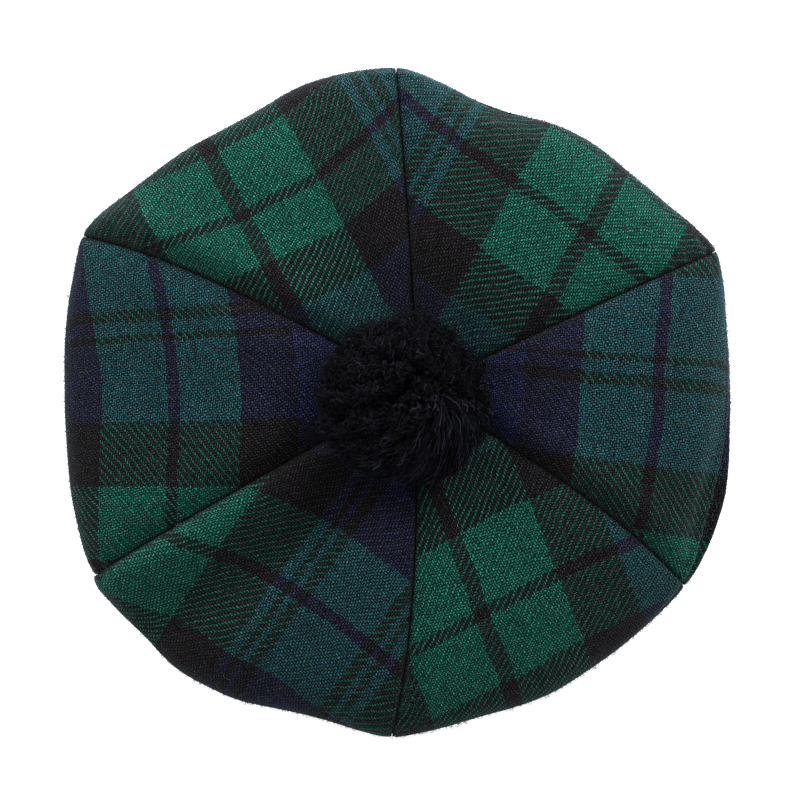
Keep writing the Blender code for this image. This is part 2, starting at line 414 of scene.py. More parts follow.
@dataclass
class MeshParts:
    """Points, faces and each point's cloth or strand coordinates, and in cloth its distance to a seam."""

    points: np.ndarray
    faces: np.ndarray
    uv: np.ndarray
    uv_name: str = "cloth"
    seam: np.ndarray | None = None

    def build(self, name: str) -> Piece:
        """Makes the object, shaded smooth, and links it into the scene.

        Args:
            name: Name of the piece.

        Returns:
            The new object.
        """
        mesh = bpy.data.meshes.new(name)
        mesh.from_pydata(self.points.tolist(), [], self.faces.tolist())
        corners = np.empty(len(mesh.loops), dtype=np.int32)
        mesh.loops.foreach_get("vertex_index", corners)
        layers = {self.uv_name: self.uv}
        if self.seam is not None:
            layers["seam"] = np.stack((self.seam, np.zeros_like(self.seam)), axis=-1)
        for label, values in layers.items():
            layer = mesh.uv_layers.new(name=label)
            layer.data.foreach_set("uv", values[corners].astype(np.float32).ravel())
        mesh.shade_smooth()
        made = bpy.data.objects.new(name, mesh)
        bpy.context.scene.collection.objects.link(made)
        return made


def grid_faces(rows: int, columns: int, around: bool = False, over: bool = False) -> np.ndarray:
    """Quads of a grid whose points are numbered row by row.

    Args:
        rows: Rows of points.
        columns: Points in a row.
        around: Whether the last column joins the first.
        over: Whether the last row joins the first.

    Returns:
        Four point numbers for each quad.
    """
    index = np.arange(rows * columns).reshape(rows, columns)
    if around:
        index = np.hstack((index, index[:, :1]))
    if over:
        index = np.vstack((index, index[:1]))
    quads = np.stack((index[:-1, :-1], index[1:, :-1], index[1:, 1:], index[:-1, 1:]), axis=-1)
    return quads.reshape(-1, 4)


def tubes(paths: np.ndarray, radii: np.ndarray, sides: int, shades: np.ndarray) -> MeshParts:
    """Thin open tubes along many paths.

    Args:
        paths: Points of each path, of shape (tubes, points, 3).
        radii: Radius at each point, of shape (tubes, points).
        sides: Sides of a tube.
        shades: One random number a tube, kept beside the place along it as the second coordinate.

    Returns:
        The tubes as one mesh, with (place along, shade) as coordinates.
    """
    upright = 0.8
    count, length, _ = paths.shape
    ahead = unit(np.gradient(paths, axis=1))
    guide = np.where(np.abs(ahead[:, :1, 2:3]) < upright, (0.0, 0.0, 1.0), (1.0, 0.0, 0.0))
    side = unit(np.cross(ahead, np.broadcast_to(guide, ahead.shape)))
    up = np.cross(side, ahead)
    turn = TAU * np.arange(sides) / sides
    ring = side[:, :, None] * np.cos(turn)[:, None] + up[:, :, None] * np.sin(turn)[:, None]
    points = paths[:, :, None] + ring * radii[:, :, None, None]
    index = np.arange(count * length * sides).reshape(count, length, sides)
    here = index[:, :-1]
    there = index[:, 1:]
    quads = np.stack((here, np.roll(here, -1, 2), np.roll(there, -1, 2), there), axis=-1).reshape(-1, 4)
    along = np.broadcast_to(np.linspace(0, 1, length)[None, :, None], index.shape)
    shade = np.broadcast_to(shades[:, None, None], index.shape)
    uv = np.stack((along, shade), axis=-1).reshape(-1, 2)
    return MeshParts(points.reshape(-1, 3), quads, uv, "strand")


@dataclass(frozen=True)
class Grain:
    """Smooth noise in space: its scale, its octaves and the weight of the finer ones."""

    scale: float
    octaves: float = 2.0
    rough: float = 0.5


class NodeSheet:
    """A small helper for writing shader nodes: each call adds one node or two and returns the output."""

    def __init__(self, tree: bpy.types.NodeTree) -> None:
        """Keeps the tree that the nodes go into."""
        self.tree = tree

    def put(self, socket: Socket, value: object) -> None:
        """Links an output to an input socket, or sets the socket's own value."""
        if isinstance(value, Socket):
            self.tree.links.new(value, socket)
        else:
            socket.default_value = value

    def node(self, kind: str, **settings: object) -> bpy.types.Node:
        """Adds a node of a kind and sets its properties."""
        made = self.tree.nodes.new(kind)
        for name, value in settings.items():
            setattr(made, name, value)
        return made

    def math(self, operation: str, *terms: object, clamp: bool = False) -> Socket:
        """A math node.

        Args:
            operation: The node's operation.
            *terms: Its one to three inputs, each an output or a number.
            clamp: Whether the result is kept between 0 and 1.

        Returns:
            The node's value output.
        """
        made = self.node("ShaderNodeMath", operation=operation, use_clamp=clamp)
        for socket, term in zip(made.inputs, terms):
            self.put(socket, term)
        return made.outputs[0]

    def times(self, first: object, *others: object) -> Socket:
        """The product of several outputs or numbers."""
        for other in others:
            first = self.math("MULTIPLY", first, other)
        return first

    def minus(self, first: object, second: object) -> Socket:
        """The first number less the second."""
        return self.math("SUBTRACT", first, second)

    def line(self, value: object, slope: float, start: object, clamp: bool = False) -> Socket:
        """A start, plus a value times a slope, which may be kept between 0 and 1."""
        return self.math("MULTIPLY_ADD", value, slope, start, clamp=clamp)

    def mix(self, share: object, first: object, second: object) -> Socket:
        """A number between two others."""
        made = self.node("ShaderNodeMix", data_type="FLOAT")
        for slot, value in ((0, share), (2, first), (3, second)):
            self.put(made.inputs[slot], value)
        return made.outputs[0]

    def mix_colour(self, share: object, first: object, second: object, blend: str = "MIX") -> Socket:
        """A colour between two others.

        Args:
            share: How much of the second colour.
            first: The first colour, or an output.
            second: The second colour, or an output.
            blend: The node's blend type.

        Returns:
            The node's colour output.
        """
        made = self.node("ShaderNodeMix", data_type="RGBA", blend_type=blend)
        for slot, value in ((0, share), (6, first), (7, second)):
            self.put(made.inputs[slot], value)
        return made.outputs[2]

    def shaded(self, colour: object, shade: Socket) -> Socket:
        """A colour made darker or lighter by a shade."""
        return self.mix_colour(1.0, colour, self.vector(shade, shade, shade), "MULTIPLY")

    def vector(self, x: object, y: object, z: object) -> Socket:
        """A vector from three numbers or outputs."""
        made = self.node("ShaderNodeCombineXYZ")
        for socket, value in zip(made.inputs, (x, y, z)):
            self.put(socket, value)
        return made.outputs[0]

    def split(self, vector: object) -> tuple[Socket, ...]:
        """The three parts of a vector."""
        made = self.node("ShaderNodeSeparateXYZ")
        self.put(made.inputs[0], vector)
        return tuple(made.outputs)

    def noise(self, place: object, grain: Grain) -> Socket:
        """Smooth noise between 0 and 1, read at a place."""
        made = self.node("ShaderNodeTexNoise", noise_dimensions="3D")
        self.put(made.inputs["Vector"], place)
        self.put(made.inputs["Scale"], grain.scale)
        self.put(made.inputs["Detail"], grain.octaves)
        self.put(made.inputs["Roughness"], grain.rough)
        return made.outputs["Fac"]

    def random(self, x: object, y: object, z: object) -> Socket:
        """A random number between 0 and 1 for each different place."""
        made = self.node("ShaderNodeTexWhiteNoise", noise_dimensions="3D")
        self.put(made.inputs["Vector"], self.vector(x, y, z))
        return made.outputs["Value"]


@dataclass
class ShadeGroup:
    """A shader node group under construction: it turns coordinates into colour, relief and roughness."""

    name: str
    tints: tuple[str, ...] = ()
    masks: tuple[str, ...] = ()

    def __post_init__(self) -> None:
        """Makes the group's tree, its sockets and its input and output nodes."""
        self.tree = bpy.data.node_groups.new(self.name, "ShaderNodeTree")
        sockets = [(label, "INPUT", "NodeSocketVector") for label in ("Place", "Space")]
        sockets += [(label, "INPUT", "NodeSocketColor") for label in self.tints]
        sockets += [("Color", "OUTPUT", "NodeSocketColor")]
        sockets += [(label, "OUTPUT", "NodeSocketFloat") for label in ("Relief", "Roughness", *self.masks)]
        for label, side, kind in sockets:
            self.tree.interface.new_socket(label, in_out=side, socket_type=kind)
        self.sheet = NodeSheet(self.tree)
        self.given = self.tree.nodes.new("NodeGroupInput").outputs
        self.leave = self.tree.nodes.new("NodeGroupOutput")

    def finish(self, **outputs: Socket) -> bpy.types.NodeTree:
        """Links the group's outputs by name and returns its tree."""
        for label, value in outputs.items():
            self.sheet.put(self.leave.inputs[label], value)
        return self.tree


@dataclass(frozen=True)
class Wander:
    """How far yarns stray: the scale of the noise and the whole swing of the yarns across and along."""

    across_scale: float
    along_scale: float
    across_swing: float
    along_swing: float


@dataclass(frozen=True)
class TwillWeave:
    """The 2/2 twill: yarn pitch across and along, and how deep and uneven its yarns look.

    A float passes over two yarns and under two. Swings say by how much a random value changes the shade,
    and weft_apart keeps the random numbers of the two sets of yarns apart.
    """

    pitch_across: float = 1.00 * MM
    pitch_along: float = 0.865 * MM
    over: float = 2.0
    repeat: float = 4.0
    wanders: tuple[Wander, ...] = (
        Wander(34.0, 41.0, 3.5 * MM, 3.5 * MM),
        Wander(130.0, 160.0, 1.5 * MM, 1.2 * MM),
        Wander(700.0, 820.0, 0.5 * MM, 0.5 * MM),
    )
    wander_rough: float = 0.6
    yarn_round: float = 3.7
    float_bow: float = 0.7
    weft_height: float = 0.88
    # Painted shade and highlight: the colour is darkened to groove between the yarns and lightened up to
    # crown on their crests.
    groove: float = 0.04
    crown: float = 4.4
    peak: float = 2.45
    weft_apart: float = 5000.0
    yarn_seed: float = 3.0
    float_seed: float = 7.0
    yarn_swing: float = 0.30
    float_swing: float = 0.54
    streak_swing: float = 1.92
    cloud_swing: float = 0.21
    streak_grain: Grain = Grain(2200.0, 2.0, 0.7)
    streak_gain: float = 4.2
    streak_start: float = -1.6
    cloud_grain: Grain = Grain(22.0, 3.0)
    cover: float = 0.3
    blend: float = 0.42
    # Grey fibre flecks on the yarns' crests: partly the wool's own stray fibres, partly a painted sheen
    # highlight.
    fleck_and_sheen: float = 0.2
    fleck_and_sheen_unlike: float = 0.6
    fleck_and_sheen_colour: Triple = (0.052, 0.052, 0.060)
    streak_relief: float = 0.35
    groove_roughness: float = 0.98
    yarn_roughness: float = 0.86
    # Ring where the material paints rim light on the cloth.
    rim: tuple[float, float] = (102.0 * MM, 128.0 * MM)
    # Painted shade of the pompom: inside this ring, towards the pompom, the cloth's colour is darkened by up
    # to the share below.
    pompom_shade_ring: tuple[float, float] = (36.0 * MM, 66.0 * MM)
    pompom_shade_depth: float = 0.42

    def group(self) -> bpy.types.NodeTree:
        """The weave as a node group.

        Returns:
            A group that turns cloth coordinates and the place in space into colour, with painted shade and
            light, relief and roughness, and gives a mask that is 1 near the rim, for the painted rim light.
        """
        made = ShadeGroup("tartan_twill", masks=("Rim",))
        sheet = made.sheet
        space = made.given["Space"]
        across, along, _ = sheet.split(made.given["Place"])
        for row in self.wanders:
            across = self.wander(sheet, space, across, row.across_scale, row.across_swing)
            along = self.wander(sheet, space, along, row.along_scale, row.along_swing)
        u = sheet.math("DIVIDE", across, self.pitch_across)
        v = sheet.math("DIVIDE", along, self.pitch_along)
        yarn = (sheet.math("FLOOR", u), sheet.math("FLOOR", v))
        rise = sheet.math("FLOORED_MODULO", sheet.minus(*yarn), self.repeat)
        warp_top = sheet.math("LESS_THAN", rise, self.over - 0.5)
        shown, kept, unlike = self.colours(sheet, yarn, warp_top)
        relief = self.relief(sheet, (u, v), yarn, warp_top)
        streak = sheet.line(
            sheet.noise(space, self.streak_grain), self.streak_gain, self.streak_start, clamp=True
        )
        shade = self.shade(sheet, space, yarn, warp_top, relief, streak)
        # Painted shade: darker towards the pompom, where its shadow falls.
        clear_of_pompom_shade = sheet.line(self.ring_share(sheet, space, self.pompom_shade_ring), self.pompom_shade_depth, 1.0 - self.pompom_shade_depth)
        colour = sheet.shaded(shown, sheet.times(shade, kept, clear_of_pompom_shade))
        # Grey fibre flecks on the crests, partly painted sheen.
        fleck_and_sheen = sheet.times(streak, streak, relief, self.fleck_and_sheen, sheet.line(unlike, self.fleck_and_sheen_unlike, 1.0))
        return made.finish(
            Color=sheet.mix_colour(fleck_and_sheen, colour, (*self.fleck_and_sheen_colour, 1.0)),
            Relief=sheet.line(streak, self.streak_relief, relief),
            Roughness=sheet.mix(relief, self.groove_roughness, self.yarn_roughness),
            Rim=self.ring_share(sheet, space, self.rim),
        )

    def wander(self, sheet: NodeSheet, space: Socket, place: Socket, scale: float, size: float) -> Socket:
        """A cloth coordinate that wanders a little, as yarns in worn cloth do.

        Args:
            sheet: The nodes that this goes into.
            space: Where the noise is read.
            place: The coordinate.
            scale: The noise's scale.
            size: How far it may wander in all.

        Returns:
            The coordinate with its wander.
        """
        swing = sheet.minus(sheet.noise(space, Grain(scale, rough=self.wander_rough)), 0.5)
        return sheet.line(swing, size, place)

    def stripe_at(self, sheet: NodeSheet, yarn: Socket, pitch: float, widths: list[float]) -> tuple:
        """Colour and cover of a yarn, from a ramp over one repeat of the sett.

        Args:
            sheet: The nodes that this goes into.
            yarn: The yarn's whole number.
            pitch: Distance from yarn to yarn.
            widths: Width of each stripe of the sett.

        Returns:
            The colour and the cover outputs.
        """
        ramp = sheet.node("ShaderNodeValToRGB")
        ramp.color_ramp.interpolation = "CONSTANT"
        elements = ramp.color_ramp.elements
        whole = sum(widths)
        reached = 0.0
        for rank, (stripe, width) in enumerate(zip(SETT, widths)):
            stop = elements[0] if rank == 0 else elements.new(reached / whole)
            stop.position = reached / whole
            stop.color = stripe.dye.value
            reached += width
        elements.remove(elements[-1])
        step = pitch / whole
        sheet.put(ramp.inputs[0], sheet.math("FRACT", sheet.line(yarn, step, 0.5 * step)))
        return ramp.outputs[0], ramp.outputs[1]

    def colours(self, sheet: NodeSheet, yarn: tuple[Socket, ...], warp_top: Socket) -> tuple[Socket, ...]:
        """The colour that shows at a crossing of two yarns.

        Args:
            sheet: The nodes that this goes into.
            yarn: Whole numbers of the yarn that runs along the gore and of the one across it.
            warp_top: 1 where the yarn that runs along the gore is on top.

        Returns:
            The colour, what the darker yarn's fibres leave of its light, and how unlike the two yarns are.
        """
        i, j = yarn
        warp, warp_cover = self.stripe_at(sheet, i, self.pitch_across, [row.across_mm * MM for row in SETT])
        weft, weft_cover = self.stripe_at(sheet, j, self.pitch_along, [row.along_mm * MM for row in SETT])
        top_cover = sheet.mix(warp_top, weft_cover, warp_cover)
        low_cover = sheet.mix(warp_top, warp_cover, weft_cover)
        unlike = sheet.math("ABSOLUTE", sheet.minus(top_cover, low_cover))
        share = sheet.line(sheet.times(unlike, unlike), -self.blend, self.blend)
        top = sheet.mix_colour(warp_top, weft, warp)
        shown = sheet.mix_colour(share, top, sheet.mix_colour(warp_top, warp, weft))
        lost = sheet.math("SUBTRACT", top_cover, sheet.times(low_cover, 2.0), clamp=True)
        return shown, sheet.line(lost, -self.cover, 1.0), unlike

    def relief(self, sheet: NodeSheet, place: tuple, yarn: tuple, warp_top: Socket) -> Socket:
        """Height of the yarns: round across each yarn, and bowed along each float.

        Args:
            sheet: The nodes that this goes into.
            place: Cloth coordinates in yarns.
            yarn: The same, rounded down.
            warp_top: 1 where the yarn that runs along the gore is on top.

        Returns:
            Relief from 0 to 1.
        """
        u, v = place
        i, j = yarn
        side = sheet.minus(sheet.mix(warp_top, sheet.minus(v, j), sheet.minus(u, i)), 0.5)
        warp_run = sheet.math("FLOORED_MODULO", sheet.math("ADD", sheet.minus(i, v), self.over), self.repeat)
        weft_run = sheet.math("FLOORED_MODULO", sheet.minus(sheet.minus(u, j), 0.5 * self.over), self.repeat)
        run = sheet.minus(sheet.mix(warp_top, weft_run, warp_run), self.over)
        rounded = sheet.line(sheet.times(side, side), -self.yarn_round, 1.0)
        bowed = sheet.line(sheet.times(run, run), -self.float_bow, 1.0)
        bowed = sheet.times(bowed, sheet.mix(warp_top, self.weft_height, 1.0))
        return sheet.math("MULTIPLY", rounded, bowed, clamp=True)

    def shade(
        self, sheet: NodeSheet, space: Socket, yarn: tuple, warp_top: Socket, relief: Socket, streak: Socket
    ) -> Socket:
        """How light the wool looks: painted shade between yarns and painted light on their crests, and uneven
        by yarn, float and place.

        Args:
            sheet: The nodes that this goes into.
            space: The place in space.
            yarn: Whole numbers of the two yarns.
            warp_top: 1 where the yarn that runs along the gore is on top.
            relief: Height of the yarns.
            streak: Fine streaks of fibre.

        Returns:
            The shade that the dye's colour is multiplied by.
        """
        i, j = yarn
        on_top = sheet.mix(warp_top, sheet.math("ADD", j, self.weft_apart), i)
        swings = (
            (sheet.random(on_top, 0.0, self.yarn_seed), self.yarn_swing),
            (sheet.random(i, j, self.float_seed), self.float_swing),
            (streak, self.streak_swing),
            (sheet.noise(space, self.cloud_grain), self.cloud_swing),
        )
        made = sheet.mix(sheet.math("POWER", relief, self.peak), self.groove, self.crown)
        for value, swing in swings:
            made = sheet.times(made, sheet.line(value, swing, 1.0 - 0.5 * swing))
        return made

    def ring_share(self, sheet: NodeSheet, space: Socket, ring: tuple[float, float]) -> Socket:
        """How far out from the crown's centre a place is: 0 inside a ring, 1 outside it.

        Args:
            sheet: The nodes that this goes into.
            space: The place.
            ring: Inner and outer radius of the ring.

        Returns:
            The share.
        """
        x, y, _ = sheet.split(space)
        centre = CrownForm().centre
        x = sheet.minus(x, centre[0])
        y = sheet.minus(y, centre[1])
        radius = sheet.math("SQRT", sheet.math("ADD", sheet.times(x, x), sheet.times(y, y)))
        inner, outer = ring
        return sheet.line(radius, 1 / (outer - inner), -inner / (outer - inner), clamp=True)


@dataclass(frozen=True)
class WoolFinish:
    """A matt wool: how strong its relief, sheen and specular are."""

    slot: Slot
    relief_height: float
    relief_strength: float
    sheen: float
    sheen_roughness: float
    specular: float
    layer: ClassVar[str] = "cloth"

    def group(self) -> bpy.types.NodeTree:
        """The node group that gives this wool its colour, relief and roughness."""
        raise NotImplementedError

    def colour(self, sheet: NodeSheet, group: bpy.types.Node) -> Socket:
        """The surface's colour: the group's own, unless a finish changes it."""
        return group.outputs["Color"]

    def material(self) -> Material:
        """The material, with its constants set on the shader's own sockets.

        Returns:
            The material.
        """
        made = bpy.data.materials.new(self.slot.value)
        made.use_nodes = True
        sheet = NodeSheet(made.node_tree)
        shader = made.node_tree.nodes["Principled BSDF"]
        shader.inputs["Metallic"].default_value = 0.0
        shader.inputs["Specular IOR Level"].default_value = self.specular
        shader.inputs["Sheen Weight"].default_value = self.sheen
        shader.inputs["Sheen Roughness"].default_value = self.sheen_roughness
        group = sheet.node("ShaderNodeGroup", node_tree=self.group())
        sheet.put(group.inputs["Place"], sheet.node("ShaderNodeUVMap", uv_map=self.layer).outputs[0])
        sheet.put(group.inputs["Space"], sheet.node("ShaderNodeTexCoord").outputs["Object"])
        bump = sheet.node("ShaderNodeBump")
        bump.inputs["Strength"].default_value = self.relief_strength
        bump.inputs["Distance"].default_value = self.relief_height
        sheet.put(bump.inputs["Height"], group.outputs["Relief"])
        sheet.put(shader.inputs["Base Color"], self.colour(sheet, group))
        sheet.put(shader.inputs["Roughness"], group.outputs["Roughness"])
        sheet.put(shader.inputs["Normal"], bump.outputs["Normal"])
        return made


@dataclass(frozen=True)
class TartanFinish(WoolFinish):
    """The gores' tartan cloth, with painted light where it turns away near the rim and painted shade along
    the seams.
    """

    # Painted rim light where the cloth turns away near the rim, and painted shade along the seams.
    facing_blend: float = 0.5
    facing_power: float = 4.0
    seam_width: float = 1.6 * MM
    seam_shade: float = 0.2
    rim_light_gain: float = 3.5
    rim_light_tint: Triple = (0.018, 0.036, 0.048)

    def group(self) -> bpy.types.NodeTree:
        """The tartan's weave."""
        return TwillWeave().group()

    def colour(self, sheet: NodeSheet, group: bpy.types.Node) -> Socket:
        """The weave's colour, with painted rim light where the cloth turns away near the rim and painted
        shade at the seams.

        Args:
            sheet: The material's nodes.
            group: The weave.

        Returns:
            The colour.
        """
        # Painted rim light: the colour is lightened where the surface turns away from the eye near the rim.
        weight = sheet.node("ShaderNodeLayerWeight")
        weight.inputs["Blend"].default_value = self.facing_blend
        turned = sheet.math("POWER", weight.outputs["Facing"], self.facing_power)
        # Painted shade along the seam valleys, which also keeps the painted rim light out of them.
        seam, _, _ = sheet.split(sheet.node("ShaderNodeUVMap", uv_map="seam").outputs[0])
        clear = sheet.line(seam, 1 / self.seam_width, self.seam_shade, clamp=True)
        share = sheet.times(turned, group.outputs["Rim"], clear)
        gain = (self.rim_light_gain, self.rim_light_gain, self.rim_light_gain, 1.0)
        rim_lit = sheet.mix_colour(1.0, group.outputs["Color"], gain, "MULTIPLY")
        rim_lit = sheet.mix_colour(1.0, rim_lit, (*self.rim_light_tint, 1.0), "ADD")
        return sheet.shaded(sheet.mix_colour(share, group.outputs["Color"], rim_lit), clear)


@dataclass(frozen=True)
class BandFinish(WoolFinish):
    """The headband's plain dark twill: one wool, in diagonal ribs."""

    navy: Triple = (0.011, 0.015, 0.030)
    rib_pitch: float = 1.1 * MM
    dent_pitch: float = 0.8 * MM
    dent: float = 0.45
    streak_grain: Grain = Grain(2400.0, 2.0, 0.7)
    cloud_grain: Grain = Grain(30.0, 3.0)
    groove_shade: float = 0.5
    rib_shade: float = 1.15
    streak_swing: float = 0.8
    cloud_swing: float = 0.3
    streak_relief: float = 0.3
    groove_roughness: float = 0.97
    rib_roughness: float = 0.85

    def ridges(self, sheet: NodeSheet, place: Socket, pitch: float) -> Socket:
        """Soft ridges a pitch apart, from 0 to 1."""
        turn = sheet.times(sheet.math("DIVIDE", place, pitch), TAU)
        return sheet.line(sheet.math("SINE", turn), 0.5, 0.5)

    def group(self) -> bpy.types.NodeTree:
        """The plain twill as a node group.

        Returns:
            A group that turns cloth coordinates and the place in space into colour, relief and roughness.
        """
        made = ShadeGroup("plain_twill")
        sheet = made.sheet
        across, along, _ = sheet.split(made.given["Place"])
        rib = self.ridges(sheet, sheet.math("ADD", across, along), self.rib_pitch)
        cross = self.ridges(sheet, sheet.minus(across, along), self.dent_pitch)
        relief = sheet.times(rib, sheet.line(cross, self.dent, 1.0 - self.dent))
        streak = sheet.noise(made.given["Space"], self.streak_grain)
        shade = sheet.mix(relief, self.groove_shade, self.rib_shade)
        cloud = sheet.noise(made.given["Space"], self.cloud_grain)
        for value, swing in ((streak, self.streak_swing), (cloud, self.cloud_swing)):
            shade = sheet.times(shade, sheet.line(value, swing, 1.0 - 0.5 * swing))
        return made.finish(
            Color=sheet.shaded((*self.navy, 1.0), shade),
            Relief=sheet.line(streak, self.streak_relief, relief),
            Roughness=sheet.mix(relief, self.groove_roughness, self.rib_roughness),
        )


@dataclass(frozen=True)
class StrandFinish(WoolFinish):
    """Yarn and loose fibres: their colour at the root and at the tip; a root darker than the tip is painted
    shade among the strands.
    """

    # The darker root colour is painted shade deep among the strands.
    root: Triple = (0.0007, 0.0007, 0.0012)
    tip: Triple = (0.0064, 0.0068, 0.0112)
    layer: ClassVar[str] = "strand"
    label: ClassVar[str] = "strand_shade"
    grain: ClassVar[Grain] = Grain(1800.0, 2.0, 0.6)
    grain_swing: ClassVar[float] = 1.2
    pale_power: ClassVar[float] = 3.0
    pale_gain: ClassVar[float] = 3.3
    least: ClassVar[float] = 0.2
    roughness: ClassVar[tuple[float, float]] = (0.7, 0.9)

    def group(self) -> bpy.types.NodeTree:
        """Shade of a strand from its place along it and its own random number.

        Returns:
            The group, which is made once and shared by all strands.
        """
        known = bpy.data.node_groups.get(self.label)
        if known:
            return known
        made = ShadeGroup(self.label, tints=("Root", "Tip"))
        sheet = made.sheet
        along, own, _ = sheet.split(made.given["Place"])
        grain = sheet.noise(made.given["Space"], self.grain)
        lift = sheet.line(sheet.math("POWER", own, self.pale_power), self.pale_gain, self.least)
        lift = sheet.times(lift, sheet.line(grain, self.grain_swing, 1.0 - 0.5 * self.grain_swing))
        return made.finish(
            Color=sheet.shaded(sheet.mix_colour(along, made.given["Root"], made.given["Tip"]), lift),
            Relief=grain,
            Roughness=sheet.mix(own, *self.roughness),
        )

    def colour(self, sheet: NodeSheet, group: bpy.types.Node) -> Socket:
        """The strand's colour, between this finish's own root and tip."""
        group.inputs["Root"].default_value = (*self.root, 1.0)
        group.inputs["Tip"].default_value = (*self.tip, 1.0)
        return group.outputs["Color"]


def enter(piece: Piece, slot: Slot, finish: Material, *nodes: str) -> Piece:
    """Gives a piece its finish, its body and the CAD nodes that it stands for.

    Args:
        piece: The piece.
        slot: The record's material slot; not used.
        finish: Its material.
        *nodes: CAD nodes that it replaces.

    Returns:
        The piece.
    """
    piece.data.materials.append(finish)
    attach(piece, BODY)
    if nodes:
        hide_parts(*nodes)
    triangles = sum(len(face.vertices) - 2 for face in piece.data.polygons)
    log.info("%s: %d triangles", piece.name, triangles)
    return piece


@dataclass(frozen=True)
class Fuzz:
    """Loose wool fibres that stand off a gore, most of them short and lying low, more of them at the rim.

    Rows of the gore are counted in stations of the crown's section.
    """

    count: int = 2600
    sides: int = 3
    radius: float = 0.06 * MM
    taper: Triple = (1.0, 0.8, 0.2)
    first_station: float = 3.0
    last_station: float = 10.0
    thin: float = 0.35
    dense: float = 5.0
    dense_at: float = 6.8
    dense_width: float = 1.1
    length_shape: float = 2.4
    length_mm: float = 0.7
    shortest_mm: float = 0.5
    longest_mm: float = 3.6
    bend: float = 0.6
    arc: float = 2.2
    rise: tuple[float, float] = (0.15, 1.0)
    root: float = 0.1 * MM
    seed: int = 100

    def density(self, station: np.ndarray) -> np.ndarray:
        """How densely fibres stand at each station of the section."""
        shown = (station > self.first_station) & (station < self.last_station)
        return shown * (self.thin + self.dense * bell(station - self.dense_at, self.dense_width))

    def grow(self, shell: MeshParts, density: np.ndarray, index: int) -> MeshParts:
        """Grows the fibres on a gore.

        Args:
            shell: The gore's outer face.
            density: How densely they stand on each of its faces.
            index: The gore's index, which makes its fibres its own.

        Returns:
            The fibres as one mesh, with their feet in the cloth and none below the table.
        """
        rng = np.random.default_rng(self.seed + index)
        corners = shell.points[shell.faces]
        normal = np.cross(corners[:, 2] - corners[:, 0], corners[:, 3] - corners[:, 1])
        chance = np.linalg.norm(normal, axis=1) * density
        picked = rng.choice(len(chance), size=self.count, p=chance / chance.sum())
        mixed = rng.random((self.count, 2))
        low = corners[picked, 0] * (1 - mixed[:, :1]) + corners[picked, 1] * mixed[:, :1]
        high = corners[picked, 3] * (1 - mixed[:, :1]) + corners[picked, 2] * mixed[:, :1]
        foot = low * (1 - mixed[:, 1:]) + high * mixed[:, 1:]
        up = unit(normal)[picked]
        lean = unit(np.cross(up, rng.normal(size=(self.count, 3))))
        bend = np.cross(up, lean) * rng.normal(scale=self.bend, size=(self.count, 1))
        size = rng.gamma(self.length_shape, self.length_mm, size=(self.count, 1, 1))
        size = size.clip(self.shortest_mm, self.longest_mm) * MM
        rise = rng.uniform(*self.rise, size=(self.count, 1, 1))
        t = np.linspace(0, 1, len(self.taper))[None, :, None]
        way = up[:, None] * rise * np.sin(t * self.arc) + lean[:, None] * t + bend[:, None] * t**2
        path = foot[:, None] + size * way - self.root * up[:, None]
        path[..., 2] = path[..., 2].clip(2 * self.radius)
        radii = np.broadcast_to(np.array(self.taper) * self.radius, path.shape[:2])
        return tubes(path, radii, self.sides, rng.random(self.count))


@dataclass(frozen=True)
class Beat:
    """One beat of the puckers along a seam: its length, how it shifts from seam to seam, and its share."""

    length: float
    shift: float
    share: float


@dataclass(frozen=True)
class Swell:
    """Smooth unevenness of cloth: the scale of the noise in space, its height and where it is read."""

    scale: float
    height: float
    offset: Triple


@dataclass
class Face:
    """A gore's plain face as a grid: a row for each step from tip to hem, a column for each place across.

    out_radius and out_height say which way is outwards, step and run give lengths along the section, and
    seam is the distance to the nearer seam.
    """

    across: np.ndarray
    radius: np.ndarray
    height: np.ndarray
    azimuth: np.ndarray
    width: np.ndarray

    def __post_init__(self) -> None:
        """Works out the outward direction, the lengths and the distance to the nearer seam."""
        run_step = np.gradient(self.radius, axis=0)
        climb_step = np.gradient(self.height, axis=0)
        length = np.hypot(run_step, climb_step)
        self.out_radius = -climb_step / length
        self.out_height = run_step / length
        self.step = np.hypot(np.diff(self.radius, axis=0), np.diff(self.height, axis=0))
        self.run = np.vstack((np.zeros(self.radius.shape[1]), np.cumsum(self.step, axis=0)))
        self.seam = np.minimum(self.across, 1 - self.across) * self.width

    def widen(self, count: int) -> None:
        """Repeats the edge columns a number of times on each side, for the seam allowances."""
        pad = ((0, 0), (count, count))
        self.seam = np.pad(self.seam, pad)
        for name in ("radius", "height", "azimuth", "out_radius", "out_height", "run"):
            setattr(self, name, np.pad(getattr(self, name), pad, mode="edge"))


